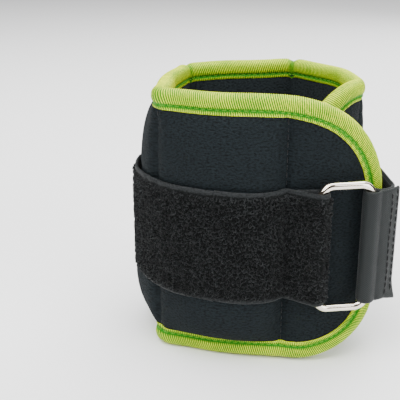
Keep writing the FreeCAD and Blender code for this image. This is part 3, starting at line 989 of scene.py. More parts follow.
@dataclass
class EdgeBinding:
    """The ribbed tape folded over the strip's edge, with its row of stitches on either face.

    Args:
        plan: the strip.
        palette: the materials.
        spans: the stretches that the tape is cut into.
    """

    plan: CuffPlan
    palette: Palette
    spans: list[Span]
    stitch_pitch: float = 2.9 * MM
    groove: float = 6.6 * MM

    def build(self) -> list[bpy.types.Object]:
        """Make every binding piece and its stitches.

        Returns:
            The new objects.
        """
        made = []
        for span in self.spans:
            routes = self._routes(span)
            tape = join([self._tape(route) for route in routes])
            obj = to_object(f"binding_{span.name}", tape, self.palette.material(LIME))
            kinds = ("top_binding", "bottom_binding", "binding")
            names = [f"{part.value}_{kind}" for part in (span.before, span.after) for kind in kinds]
            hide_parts(*[name for name in names if name in frame["nodes"]])
            span.bend(obj)
            thread = join([self._stitches(route, side) for route in routes for side in (1.0, -1.0)])
            stitches = to_object(
                f"binding_stitches_{span.name}", thread, self.palette.material(GREEN_THREAD)
            )
            span.bend(stitches)
            made.extend([obj, stitches])
        return made

    @staticmethod
    def _corner(centre_s: float, centre_z: float, radius: float, first: float, last: float) -> np.ndarray:
        """Return the points of a round corner, from one polar angle to another."""
        angle = np.radians(np.linspace(first, last, 60))
        return np.stack([centre_s + radius * np.cos(angle), centre_z + radius * np.sin(angle)], axis=1)

    def _routes(self, span: Span) -> list[Route]:
        """Return the edge lines of a span: one round a flap's end, or a bottom and a top one."""
        plan = self.plan
        start, end = span.limits
        if span.after is Part.OUTER_FLAP:
            low, high = plan.flap_bottom_radius, plan.flap_top_radius
            outline = np.vstack([
                [[start, plan.bottom]],
                self._corner(plan.length - low, plan.bottom + low, low, -90.0, 0.0),
                self._corner(plan.length - high, plan.top - high, high, 0.0, 90.0),
                [[start, plan.top]],
            ])
            return [self._route(outline, start, -start)]
        if span.before is Part.INNER_FLAP:
            r = plan.inner_flap_radius
            outline = np.vstack([
                [[end, plan.top]],
                self._corner(r, plan.top - r, r, 90.0, 180.0),
                self._corner(r, plan.bottom + r, r, 180.0, 270.0),
                [[end, plan.bottom]],
            ])
            return [self._route(outline, -end, end)]
        bottom = np.array([[start, plan.bottom], [end, plan.bottom]])
        top = np.array([[end, plan.top], [start, plan.top]])
        return [self._route(bottom, start, end), self._route(top, -end, -start)]

    def _route(self, outline: np.ndarray, first: float, last: float) -> Route:
        """Resample an anticlockwise outline at a sixth of the rib pitch and find its inward side.

        Args:
            outline: corner points of the route.
            first: the ribs' distance at its start.
            last: the ribs' distance at its end, give or take whole ribs.

        Returns:
            The route. Its ribs are stretched a little so that a whole number fits.
        """
        distance = distance_along(outline)
        total = float(distance[-1])
        at = np.linspace(0.0, total, int(total / (RIB_PITCH / 6.0)))
        at = np.concatenate([[0.0, EDGE_STEP], at[1:-1], [total - EDGE_STEP, total]])
        s = np.interp(at, distance, outline[:, 0])
        z = np.interp(at, distance, outline[:, 1])
        ds, dz = np.gradient(s, at), np.gradient(z, at)
        size = np.hypot(ds, dz)
        spare = (last - first - total + RIB_PITCH / 2.0) % RIB_PITCH - RIB_PITCH / 2.0
        return Route(s, z, -dz / size, ds / size, at, first + at * (total + spare) / total)

    def _pinch(self, s: np.ndarray) -> np.ndarray:
        """Return how hard the edge is gathered in at s: a narrow bell curve at each seam."""
        total = np.zeros(np.shape(s))
        for part, strength in PINCH.items():
            total = total + strength * np.exp(-(((s - self.plan.end_of(part)) / (1.9 * MM)) ** 2))
        return total

    def _sway(self, route: Route) -> np.ndarray:
        """Return how far the edge wanders in and out: up to 1.1 mm, and further at a pinch."""
        wander = 0.55 * MM * (1.0 + waves(route.s, route.z, (61 * MM, 37 * MM, 83 * MM), 0.9))
        return wander + 0.9 * MM * self._pinch(route.s)

    @staticmethod
    def _profile() -> tuple[np.ndarray, np.ndarray, np.ndarray]:
        """Return the tape's closed cross-section: depth from the edge, offset, and how ribbed it is.

        The outer side is a quarter ellipse at the edge, a gentle swelling, a groove where the stitches
        pull it in, and a narrow lip. The inner side mirrors it, and the hollow between them is flat.
        """
        depth = np.concatenate([
            3.4 * MM * (1.0 - np.cos(np.linspace(0.0, math.pi / 2.0, 9))),
            np.linspace(4.1 * MM, 5.9 * MM, 4),
            np.array([6.3, 6.6, 6.9, 7.2, 7.9, 8.4, 8.7]) * MM,
        ])
        offset = np.concatenate([
            3.7 * MM * np.sin(np.linspace(0.0, math.pi / 2.0, 9)),
            np.array([3.78, 3.76, 3.62, 3.40]) * MM,
            np.array([3.05, 2.78, 2.92, 3.20, 3.24, 3.08, 2.62]) * MM,
        ])
        lip = [0.8, 0.1, 0.4, 0.8, 0.9, 0.7, 0.2]
        ribbed = np.concatenate([np.linspace(0.55, 1.0, 9), np.ones(4), lip])
        hollow_depth = np.array([8.5, 5.0, 1.4]) * MM
        hollow_offset = np.array([2.2, 2.0, 1.4]) * MM
        outer = (depth[::-1], offset[::-1], ribbed[::-1])
        inner = (depth[1:], -offset[1:] * 0.94, ribbed[1:])
        under = (
            np.concatenate([hollow_depth, hollow_depth[::-1]]),
            np.concatenate([-hollow_offset, hollow_offset[::-1]]),
            np.zeros(6),
        )
        return tuple(np.concatenate(group) for group in zip(outer, inner, under))

    def _lift(self, s: np.ndarray, z: np.ndarray, depth: np.ndarray) -> np.ndarray:
        """Return how far the tape's lip is pushed out with the start of a pocket's swelling."""
        return np.clip(cover_offset(self.plan, s, z) - HALF_SANDWICH, -0.6 * MM, 1.2 * MM) * smoothstep(
            depth, 5.5 * MM, 8.7 * MM
        )

    def _tape(self, route: Route) -> MeshData:
        """Make the tape along a route.

        Every point is the route's point, moved across by its depth and out by its offset. The ribs
        add 0.34 mm times a rounded cosine of the distance along, slanted by the depth. A pinch at a
        seam draws the section in by up to 28%.
        """
        depth, offset, ribbed = self._profile()
        reach = depth[None, :] + self._sway(route)[:, None]
        s = route.s[:, None] + route.across_s[:, None] * reach
        z = route.z[:, None] + route.across_z[:, None] * reach
        side = np.sign(offset)[None, :]
        lean = 0.30 * side * depth[None, :]
        wave = 0.5 + 0.5 * np.cos(2.0 * math.pi * (route.rib[:, None] + lean) / RIB_PITCH)
        rib = RIB_HEIGHT * (wave**0.7 - 0.6) * ribbed[None, :]
        plump = 0.22 * MM * waves(s, z, (19 * MM, 33 * MM), 2.0) * ribbed[None, :]
        lift = np.where(side > 0, self._lift(s, z, depth[None, :]), 0.0)
        gathered = 1.0 - 0.28 * np.clip(self._pinch(route.s), 0.0, 1.0)[:, None]
        out = (offset[None, :] + side * (rib + plump)) * gathered + lift
        edge = np.where(np.abs(offset)[None, :] < 1.5 * MM, rib, 0.0) * (ribbed[None, :] > 0)
        rings = self.plan.place(s - route.across_s[:, None] * edge, z - route.across_z[:, None] * edge, out)
        mesh = swept(rings)
        # Painted shade: the hollows between the ribs, the tape gathered at each seam and the stitch groove
        # are darkened towards the hollows' colour.
        shade = (1.0 - wave) * 1.25 * ribbed + 0.4 * np.clip(self._pinch(route.s), 0.0, 1.0)[:, None]
        groove = np.exp(-(((depth - self.groove) / (0.55 * MM)) ** 2)) * (ribbed > 0)
        mesh.values["shade"] = (shade + 1.4 * groove[None, :]).ravel()
        flat = np.stack([route.length[:, None] + 0.0 * reach, np.cumsum(np.abs(out), axis=1)], axis=-1)
        mesh.uv = flat.reshape(-1, 2) / MM
        return mesh

    def _stitches(self, route: Route, side: float) -> MeshData:
        """Make the row of stitches in the tape's groove, on the outer face (1) or the inner one (-1)."""
        total = route.length[-1]
        count = int(total / self.stitch_pitch)
        at = (np.arange(count) + 0.5) * total / count
        ends = np.stack([at - 1.05 * MM, at + 1.05 * MM])
        depth = self.groove + np.interp(ends, route.length, self._sway(route))
        s = np.interp(ends, route.length, route.s) + np.interp(ends, route.length, route.across_s) * depth
        z = np.interp(ends, route.length, route.z) + np.interp(ends, route.length, route.across_z) * depth
        out = side * (2.86 * MM if side > 0 else 2.68 * MM) + 0.0 * s
        if side > 0:
            out = out + self._lift(s, z, depth * 0 + self.groove)
        first, last = self.plan.place(s, z, out)
        normals = side * self.plan.normal(np.interp(at, route.length, route.s))
        return stitch_row(first, last, normals, 0.24 * MM)


def capsule(radius: float) -> MeshData:
    """Return a thin closed capsule from -0.5 to 0.5 along its first axis, arched at its middle."""
    x = np.array([-0.5, -0.44, -0.2, 0.2, 0.44, 0.5])
    thick = np.array([0.25, 0.85, 1.0, 1.0, 0.85, 0.25])
    rise = np.array([-0.7, -0.2, 0.25, 0.25, -0.2, -0.7])
    angle = np.arange(6) * math.pi / 3.0
    rings = np.stack([
        np.repeat(x[:, None], 6, axis=1),
        thick[:, None] * np.cos(angle) * radius,
        (thick[:, None] * np.sin(angle) + rise[:, None]) * radius,
    ], axis=-1)
    return swept(rings)


def stitch_row(first: np.ndarray, last: np.ndarray, normals: np.ndarray, radius: float) -> MeshData:
    """Make one stitch between each pair of points.

    Args:
        first: where each stitch begins.
        last: where each ends.
        normals: the direction out of the cloth at each stitch.
        radius: the thread's radius.

    Returns:
        The stitches. The capsule's first axis is stretched to the stitch's length.
    """
    along = last - first
    length = np.linalg.norm(along, axis=1, keepdims=True)
    unit = along / length
    side = np.cross(normals, unit)
    side /= np.linalg.norm(side, axis=1, keepdims=True)
    up = np.cross(unit, side)
    axes = np.stack([unit * length, side, up], axis=1)
    return copies(capsule(radius), (first + last) / 2.0, axes, np.ones(len(first)))


def loop_template() -> MeshData:
    """Return one pile loop: a thin arch of unit height, leaning and curled to one side."""
    t = np.linspace(0.0, math.pi, 6)
    centre = np.stack([0.42 * np.cos(t), 0.28 * np.sin(2.0 * t), 0.95 * np.sin(t) - 0.12], axis=1)
    along = np.gradient(centre, axis=0)
    along /= np.linalg.norm(along, axis=1, keepdims=True)
    side = np.cross(along, np.array([0.0, 1.0, 0.0]))
    side /= np.linalg.norm(side, axis=1, keepdims=True)
    third = np.cross(along, side)
    angle = np.arange(3) * 2.0 * math.pi / 3.0
    ring = np.cos(angle)[None, :, None] * side[:, None] + np.sin(angle)[None, :, None] * third[:, None]
    return swept(centre[:, None, :] + 0.15 * ring)


@dataclass
class Ribbon:
    """A strap seen from above: a path with a thickness, standing between two heights.

    Args:
        path: points along the middle of the strap's thickness.
        low: the lower edge.
        high: the upper edge.
        thickness: the strap's thickness.
    """

    path: np.ndarray
    low: float
    high: float
    thickness: float

    def __post_init__(self) -> None:
        """Work out the distance along the path and the direction to its right."""
        self.distance = distance_along(self.path)
        self.outwards = right_of(np.gradient(self.path, self.distance, axis=0))

    @property
    def length(self) -> float:
        """Return the path's length."""
        return float(self.distance[-1])

    def place(self, u: np.ndarray, z: np.ndarray, offset: np.ndarray) -> np.ndarray:
        """Return places at a distance u along the path, a height and an offset to the right."""
        x, y = (np.interp(u, self.distance, self.path[:, k]) for k in (0, 1))
        nx, ny = (np.interp(u, self.distance, self.outwards[:, k]) for k in (0, 1))
        return np.stack([x + nx * offset, y + ny * offset, z + 0.0 * x], axis=-1)

    def normal(self, u: np.ndarray) -> np.ndarray:
        """Return the direction to the right at u."""
        nx, ny = (np.interp(u, self.distance, self.outwards[:, k]) for k in (0, 1))
        return np.stack([nx, ny, 0.0 * nx], axis=-1)

    def mesh(
        self, pitch: float, rows: int, rough: float, sway: float = 0.0, pile_shade: float = 0.0
    ) -> MeshData:
        """Make the strap.

        Args:
            pitch: spacing along the path.
            rows: points from edge to edge.
            rough: height of the surface's soft unevenness.
            sway: how far the edges wander up and down.
            pile_shade: how much painted shade darkens the ground between the two plain edges, under the
                pile.

        Returns:
            The closed strap. Its edges are rounded: the half thickness falls as the square root of
            the distance within 0.7 mm of an edge.
        """
        count = int(self.length / pitch) + 2
        u = np.linspace(0.0, self.length, count)[:, None]
        w = (1.0 - np.cos(np.linspace(0.0, math.pi, rows)))[None, :] / 2.0
        w = 0.35 * w + 0.65 * np.linspace(0.0, 1.0, rows)[None, :]
        wander = sway * waves(u, 0.0 * u, (29 * MM, 43 * MM), 0.4)
        z = self.low + (self.high - self.low) * w + wander
        edge = np.minimum(w, 1.0 - w) * (self.high - self.low)
        half = self.thickness / 2.0 * (0.35 + 0.65 * np.sqrt(np.clip(edge / (0.7 * MM), 0.0, 1.0)))
        lump = rough * waves(u, z, (5.3 * MM, 8.9 * MM, 13.7 * MM), 0.7)
        front = self.place(u + 0.0 * z, z, half + lump)
        back = self.place(u + 0.0 * z, z, lump - half)
        mesh = swept(np.concatenate([front, back[:, ::-1]], axis=1))
        flat = np.stack([u + 0.0 * z, z], axis=-1) / MM
        mesh.uv = np.concatenate([flat, flat[:, ::-1]], axis=1).reshape(-1, 2)
        # Painted shade on the ground between the plain edges, where the pile loops stand over it.
        dark = pile_shade * smoothstep(edge + 0.0 * u, 0.7 * PILE_MARGIN, 1.1 * PILE_MARGIN)
        mesh.values["shade"] = np.concatenate([dark, 0.0 * dark], axis=1).ravel()
        return mesh


def resample(points: np.ndarray, pitch: float, passes: int = 0) -> np.ndarray:
    """Return a polyline's points evenly spaced, smoothed by passes of a three-point mean."""
    distance = distance_along(points)
    at = np.linspace(0.0, distance[-1], int(distance[-1] / pitch) + 2)
    even = np.stack([np.interp(at, distance, points[:, k]) for k in (0, 1)], axis=1)
    for _ in range(passes):
        even[1:-1] = (even[:-2] + 2.0 * even[1:-1] + even[2:]) / 4.0
    return even


def circle_points(centre: np.ndarray, radius: float, first: float, last: float, count: int) -> np.ndarray:
    """Return points on a circle from one polar angle to another, in radians."""
    angle = np.linspace(first, last, count)
    return centre + radius * np.stack([np.cos(angle), np.sin(angle)], axis=1)


def touch_angle(outside: np.ndarray, centre: np.ndarray, radius: float, side: float) -> float:
    """Return the polar angle where a line from an outside point touches a circle.

    It is the bearing of the point from the centre, turned by the arc cosine of radius over distance.
    """
    away = outside - centre
    return math.atan2(away[1], away[0]) + side * math.acos(radius / float(np.hypot(*away)))


@dataclass
class PileStrap:
    """The loop-pile strap round the cuff, and its end folded round the ring's bar.

    Args:
        plan: the strip.
        palette: the materials.
        spans: the stretches that the strap is cut into.
        rng: the source of the loops' unevenness.
    """

    plan: CuffPlan
    palette: Palette
    spans: list[Span]
    rng: np.random.Generator

    def strap_offset(self, s: np.ndarray) -> np.ndarray:
        """Return the middle of the strap base's thickness: it lies on the cover at mid height."""
        middle = (STRAP_LOW + STRAP_HIGH) / 2.0
        spread = np.linspace(-3.0 * MM, 3.0 * MM, 7)[:, None]
        on_cover = cover_offset(self.plan, s[None, :] + spread, middle + 0.0 * (s[None, :] + spread))
        here = cover_offset(self.plan, s, middle + 0.0 * s)
        return np.maximum(on_cover.mean(axis=0), here) + PILE_BASE / 2.0

    def build(self) -> list[bpy.types.Object]:
        """Make every strap piece and its loops.

        Returns:
            The new objects.
        """
        made = []
        for span in self.spans:
            start, end = span.limits
            if span.before is Part.INNER_FLAP:
                start = self.plan.end_of(Part.INNER_FLAP) + 2.0 * MM
            path = self._path(span, start, end)
            ribbon = Ribbon(path, STRAP_LOW, STRAP_HIGH, PILE_BASE)
            name = f"pile_strap_{span.name}"
            # The last number is the painted shade on the ground under the pile.
            ground = ribbon.mesh(0.8 * MM, 50, 0.12 * MM, 0.3 * MM, 1.0)
            base = to_object(name, ground, self.palette.material(SELVEDGE))
            parts = [p for p in (span.before, span.after) if p not in (Part.INNER_FLAP, Part.OUTER_FLAP)]
            nodes = [f"{p.value}_pile_strap" for p in parts]
            if span.after is Part.OUTER_FLAP:
                nodes.append("pile_strap_ring_loop")
            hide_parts(*nodes)
            pile = self._loops(ribbon, span)
            loops = to_object(f"pile_loops_{span.name}", pile, self.palette.material(PILE))
            span.bend(base)
            span.bend(loops)
            LOG.info("%s: %.0f x %.0f mm flat", name, (STRAP_HIGH - STRAP_LOW) / MM, ribbon.length / MM)
            made.extend([base, loops])
        return made

    def _path(self, span: Span, start: float, end: float) -> np.ndarray:
        """Return the strap's path over a span.

        On the pockets it follows the cover. At the outer flap it leaves the seam, runs straight to the
        ring's bar, goes round it and comes back along the flap.
        """
        plan = self.plan
        if span.after is not Part.OUTER_FLAP:
            s = np.linspace(start, end, 160)
            return plan.place(s, 0.0 * s, self.strap_offset(s))[:, :2]
        seam = plan.end_of(Part.FRONT)
        s = np.linspace(start, seam + 0.8 * MM, 100)
        on_pocket = plan.place(s, 0.0 * s, self.strap_offset(s))[:, :2]
        bar = joint_place("ring_swivel")
        radius = 2.2 * MM + PILE_BASE / 2.0 + 0.3 * MM
        leave = touch_angle(on_pocket[-1], bar, radius, 1.0)
        under_s = float(plan.s[np.argmin(np.linalg.norm(plan.xy - bar, axis=1))])
        back = np.linspace(under_s - 1.0 * MM, seam + 5.0 * MM, 20)
        under = plan.place(back, 0.0 * back, np.full(20, HALF_SANDWICH + 0.9 * MM + PILE_BASE / 2.0))[:, :2]
        toward = touch_angle(under[0], bar, radius, -1.0)
        while toward < leave:
            toward += 2.0 * math.pi
        fold = circle_points(bar, radius, leave, min(toward, leave + 1.35 * math.pi), 40)
        return resample(np.vstack([on_pocket, fold, under]), 0.4 * MM, 3)

    def _loops(self, ribbon: Ribbon, span: Span) -> MeshData:
        """Scatter loops over the strap's outer face, clear of its two woven edges.

        The places are a jittered grid. Each loop stands on the face's normal, is turned by a random
        angle and sized at random between 0.8 and 1.5 times the pile's height.
        """
        reach = ribbon.length
        if span.after is Part.OUTER_FLAP:
            reach -= 9.0 * MM
        pitch = 0.98 * MM
        u = np.arange(0.3 * MM, reach, pitch)
        z = np.arange(STRAP_LOW + PILE_MARGIN, STRAP_HIGH - PILE_MARGIN, pitch)
        grid_u, grid_z = (g.ravel() for g in np.meshgrid(u, z))
        grid_u = grid_u + self.rng.uniform(-0.5, 0.5, grid_u.size) * pitch
        grid_z = grid_z + self.rng.uniform(-0.5, 0.5, grid_z.size) * pitch
        normal = ribbon.normal(grid_u)
        up = np.tile([0.0, 0.0, 1.0], (grid_u.size, 1))
        side = np.cross(up, normal)
        angle = self.rng.uniform(0.0, 2.0 * math.pi, grid_u.size)[:, None]
        lean = self.rng.normal(0.0, 0.35, (grid_u.size, 2))
        tilted = normal + lean[:, :1] * side + lean[:, 1:] * up
        tilted /= np.linalg.norm(tilted, axis=1, keepdims=True)
        first = np.cos(angle) * side + np.sin(angle) * up
        first -= np.sum(first * tilted, axis=1, keepdims=True) * tilted
        first /= np.linalg.norm(first, axis=1, keepdims=True)
        axes = np.stack([first, np.cross(tilted, first), tilted], axis=1)
        origins = ribbon.place(grid_u, grid_z, np.full(grid_u.size, PILE_BASE / 2.0))
        mesh = copies(loop_template(), origins, axes, PILE_HEIGHT * self.rng.uniform(0.8, 1.5, grid_u.size))
        mesh.caps = []
        mesh.uv = np.zeros((len(mesh.points), 2))
        # Painted shade: each loop darkens towards its foot, deep in the pile; on top, each loop gets its
        # own random tone.
        tips = np.clip(loop_template().points[:, 2], 0.0, 1.0)
        own = self.rng.uniform(-0.25, 0.75, grid_u.size)
        mesh.values["shade"] = (own[:, None] + 0.5 * (1.0 - tips)[None, :]).ravel()
        return mesh


@dataclass
class HookStrap:
    """The webbing strap round the ring's other bar: turnback, main run, hook tape and stitches.

    Args:
        plan: the strip.
        palette: the materials.
        pile: the strap that it fastens on.
        rng: the source of unevenness.
    """

    plan: CuffPlan
    palette: Palette
    pile: PileStrap
    rng: np.random.Generator
    straight: float = 3.3 * MM
    bend_radius: float = 9.2 * MM
    sewn: float = 9.4 * MM

    def build(self) -> list[bpy.types.Object]:
        """Make the webbing, the hook tape and the two rows of stitches.

        Returns:
            The new objects.
        """
        low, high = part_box("hook_strap_webbing")[0][2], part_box("hook_strap_webbing")[1][2]
        ribbon = Ribbon(self._path(), low, high, WEBBING_THICKNESS)
        mesh = ribbon.mesh(0.5 * MM, 60, 0.05 * MM, 0.15 * MM)
        mesh.points += self._flare(ribbon, mesh.uv[:, 0] * MM, mesh.uv[:, 1] * MM)
        webbing = to_object("webbing_strap", mesh, self.palette.material(WEBBING))
        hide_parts("hook_strap_webbing")
        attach(webbing, "hook_strap")
        main = self._main_path()
        inwards = right_of(np.gradient(main, axis=0))
        tape_path = main + inwards * -(WEBBING_THICKNESS + HOOK_TAPE_THICKNESS) / 2.0
        keep = distance_along(tape_path) > self.sewn
        tape_ribbon = Ribbon(tape_path[keep], low + 1.0 * MM, high - 1.0 * MM, HOOK_TAPE_THICKNESS)
        strip = tape_ribbon.mesh(0.8 * MM, 30, 0.02 * MM)
        tape = to_object("hook_tape_strip", strip, self.palette.material(HOOK))
        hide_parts("hook_tape")
        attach(tape, "hook_strap")
        hook_rows = self._hooks(tape_ribbon)
        hooks = to_object("hook_tape_hooks", hook_rows, self.palette.material(HOOK))
        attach(hooks, "hook_strap")
        rows = self._stitches(ribbon)
        thread = to_object("webbing_stitches", rows, self.palette.material(THREAD))
        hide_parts("hook_strap_thread")
        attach(thread, "hook_strap")
        lengths = ribbon.length / MM, tape_ribbon.length / MM
        LOG.info("webbing %.0f mm long, hook tape %.0f mm long", *lengths)
        return [webbing, tape, hooks, thread]

    @staticmethod
    def _flare(ribbon: Ribbon, u: np.ndarray, z: np.ndarray) -> np.ndarray:
        """Return how the cut end's loose lower corner curls out and down.

        It is a b² times 1.9 mm outwards and 1.1 mm down, where a and b fall from 1 at the corner to 0
        at 5 mm along the strap and 9 mm up it.
        """
        a = np.clip(1.0 - u / (5.0 * MM), 0.0, 1.0)
        b = np.clip(1.0 - (z - ribbon.low) / (9.0 * MM), 0.0, 1.0)
        amount = (a * b**2)[:, None]
        return amount * (-1.9 * MM * ribbon.normal(u) - np.array([0.0, 0.0, 1.1 * MM]))

    def _frame(self) -> tuple[np.ndarray, np.ndarray, float]:
        """Return the strap's bar, the bend's centre and the strap's heading."""
        bar = joint_place("strap_peel")
        along = bar - joint_place("ring_swivel")
        along /= np.linalg.norm(along)
        meet = bar + along * self.straight
        centre = meet - right_of(along) * self.bend_radius
        return bar, centre, math.atan2(along[1], along[0])

    def _main_path(self) -> np.ndarray:
        """Return the inner layer's path: the bend, a straight run, and the tail on the pile.

        The straight run leaves the bend where it points at the tail, and the tail keeps a fixed
        distance from the strap on the right pocket, as far as the CAD strap's own end.
        """
        _, centre, heading = self._frame()
        radius = self.bend_radius - WEBBING_THICKNESS / 2.0
        gap = PILE_BASE / 2.0 + PILE_HEIGHT + HOOK_TAPE_THICKNESS + WEBBING_THICKNESS / 2.0 + 0.1 * MM
        right = Part.RIGHT
        s = np.linspace(self.plan.start_of(right) + 3 * MM, self.plan.end_of(right), 400)
        lie = self.plan.place(s, 0.0 * s, self.pile.strap_offset(s) + gap)[:, :2]
        away = lie - centre
        bearing = np.arctan2(away[:, 1], away[:, 0]) - np.arccos(radius / np.hypot(away[:, 0], away[:, 1]))
        touch = centre + radius * np.stack([np.cos(bearing), np.sin(bearing)], axis=1)
        tangent = np.gradient(lie, axis=0)
        run = lie - touch
        cross = run[:, 0] * tangent[:, 1] - run[:, 1] * tangent[:, 0]
        first = int(np.argmin(np.abs(cross)))
        end_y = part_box("hook_strap_webbing")[1][1]
        last = int(np.argmin(np.abs(lie[:, 1] - end_y + 1.0 * MM)))
        last = max(last, first + 20)
        bend = circle_points(centre, radius, heading - math.pi / 2.0, float(bearing[first]), 60)
        return resample(np.vstack([bend, lie[first:last]]), 0.4 * MM, 8)

    def _path(self) -> np.ndarray:
        """Return the strap's path: its cut end, back round the bar, and out along the main run."""
        bar, centre, heading = self._frame()
        half = WEBBING_THICKNESS / 2.0
        outer_radius = self.bend_radius + half
        cut = self.sewn / self.bend_radius
        down = heading - math.pi / 2.0
        turnback = circle_points(centre, outer_radius, down + cut, down, 50)
        flare = np.linspace(1.0, 0.0, 50)[:, None] ** 5 * 0.7 * MM
        turnback = turnback + flare * (turnback - centre) / outer_radius
        loop_radius = 2.4 * MM + half
        out_touch = touch_angle(turnback[-1], bar, loop_radius, -1.0)
        main = self._main_path()
        in_touch = touch_angle(main[0], bar, loop_radius, 1.0)
        while in_touch > out_touch:
            in_touch -= 2.0 * math.pi
        loop = circle_points(bar, loop_radius, out_touch, in_touch, 50)
        return resample(np.vstack([turnback, loop, main]), 0.4 * MM, 3)

    def _hooks(self, ribbon: Ribbon) -> MeshData:
        """Make rows of small hooks on the tape's inner face, each a leaning stub with a bent tip."""
        t = np.array([0.0, 0.45, 0.8, 1.0])
        forward, rise = np.array([0.0, 0.05, 0.3, 0.62]), np.array([0.0, 0.6, 0.95, 0.75])
        centre = np.stack([forward, 0.0 * t, rise], axis=1)
        angle = np.arange(4) * math.pi / 2.0 + math.pi / 4.0
        flat = np.stack([np.cos(angle), np.sin(angle), 0.0 * angle], axis=1) * 0.24
        template = swept(centre[:, None, :] + flat[None] * np.array([1.3, 1.0, 0.9, 0.5])[:, None, None])
        u = np.arange(1.0 * MM, ribbon.length - 1.0 * MM, 1.35 * MM)
        z = np.arange(ribbon.low + 1.2 * MM, ribbon.high - 1.2 * MM, 1.2 * MM)
        grid_u, grid_z = (g.ravel() for g in np.meshgrid(u, z))
        inwards = -ribbon.normal(grid_u)
        up = np.tile([0.0, 0.0, 1.0], (grid_u.size, 1))
        flip = np.where(self.rng.uniform(size=grid_u.size) > 0.5, 1.0, -1.0)[:, None]
        side = np.cross(inwards, up) * flip
        axes = np.stack([side, np.cross(inwards, side), inwards], axis=1)
        origins = ribbon.place(grid_u, grid_z, np.full(grid_u.size, -HOOK_TAPE_THICKNESS / 2.0))
        return copies(template, origins, axes, np.full(grid_u.size, 0.75 * MM))

    def _stitches(self, ribbon: Ribbon) -> MeshData:
        """Make the two upright rows of stitches through the turnback."""
        rows = []
        for back, trim in ((1.6 * MM, 3.6 * MM), (5.0 * MM, 2.2 * MM)):
            z = np.arange(ribbon.low + trim, ribbon.high - 1.6 * MM, 3.1 * MM)
            u = np.full(z.size, back) + 0.15 * MM * np.sin(z / (4.0 * MM))
            level = np.full(z.size, -WEBBING_THICKNESS / 2.0 - 0.05 * MM)
            first = ribbon.place(u, z, level) + self._flare(ribbon, u, z)
            last = ribbon.place(u, z + 2.5 * MM, level) + self._flare(ribbon, u, z + 2.5 * MM)
            rows.append(stitch_row(first, last, -ribbon.normal(u), 0.33 * MM))
        return join(rows)


@dataclass
class Ring:
    """The bright wire ring that joins the two straps.

    Args:
        palette: the materials.
        wire: the wire's diameter.
        corner: radius of its bends, along the wire's middle.
    """

    palette: Palette
    wire: float = 3.55 * MM
    corner: float = 5.0 * MM

    def build(self) -> list[bpy.types.Object]:
        """Make the ring: a circle carried round a rectangle with round corners.

        Returns:
            The new object. Its four corners are quarter circles about the rectangle's inset corners.
        """
        first, last = joint_place("ring_swivel"), joint_place("strap_peel")
        width = float(np.linalg.norm(last - first))
        across = (last - first) / width
        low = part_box("ring")[0][2] + self.wire / 2.0
        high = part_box("ring")[1][2] - self.wire / 2.0
        r = self.corner
        turn = np.linspace(0.0, math.pi / 2.0, 14)
        centres = np.array([(width - r, high - r), (r, high - r), (r, low + r), (width - r, low + r)])
        angle = turn[None, :] + np.arange(4)[:, None] * math.pi / 2.0
        outline = centres[:, None, :] + r * np.stack([np.cos(angle), np.sin(angle)], axis=-1)
        flat = self._even(outline.reshape(-1, 2))
        along = np.roll(flat, -1, axis=0) - np.roll(flat, 1, axis=0)
        side = right_of(along)
        middle = np.concatenate([first + flat[:, :1] * across, flat[:, 1:]], axis=1)
        out = np.concatenate([side[:, :1] * across, side[:, 1:]], axis=1)
        front = np.array([across[1], -across[0], 0.0])
        around = np.linspace(0.0, 2.0 * math.pi, 28, endpoint=False)
        ring = np.cos(around)[None, :, None] * out[:, None, :] + np.sin(around)[None, :, None] * front
        mesh = swept(middle[:, None, :] + self.wire / 2.0 * ring, closed=True)
        mesh.uv = np.zeros((len(mesh.points), 2))
        obj = to_object("wire_ring", mesh, self.palette.material(NICKEL))
        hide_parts("ring")
        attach(obj, "ring")
        return [obj]

    @staticmethod
    def _even(outline: np.ndarray) -> np.ndarray:
        """Return a closed outline's points about 0.6 mm apart."""
        closed = np.vstack([outline, outline[:1]])
        distance = distance_along(closed)
        at = np.linspace(0.0, distance[-1], int(distance[-1] / (0.6 * MM)), endpoint=False)
        return np.stack([np.interp(at, distance, closed[:, k]) for k in (0, 1)], axis=1)


@dataclass
class SeamStitches:
    """The row of stitches down each seam, above and below the strap.

    Args:
        plan: the strip.
        palette: the materials.
        spans: the stretches, one for each seam.
    """

    plan: CuffPlan
    palette: Palette
    spans: list[Span]

    def build(self) -> list[bpy.types.Object]:
        """Make one piece of stitches for each seam.

        Returns:
            The new objects.
        """
        made = []
        for span in self.spans:
            low = self.plan.bottom + BINDING_HEIGHT + 1.0 * MM
            high = self.plan.top - BINDING_HEIGHT - 3.0 * MM
            rows = []
            for begin, end in ((low, STRAP_LOW - 3.2 * MM), (STRAP_HIGH + 0.8 * MM, high)):
                z = np.arange(begin, end, 3.2 * MM)
                s = np.full(z.size, span.seam)
                level = cover_offset(self.plan, s, z) + 0.12 * MM
                top = z + 2.4 * MM
                first, last = self.plan.place(s, z, level), self.plan.place(s, top, level)
                rows.append(stitch_row(first, last, self.plan.normal(s), 0.27 * MM))
            name = f"seam_stitches_{span.name}"
            obj = to_object(name, join(rows), self.palette.material(THREAD))
            span.bend(obj)
            made.append(obj)
        return made


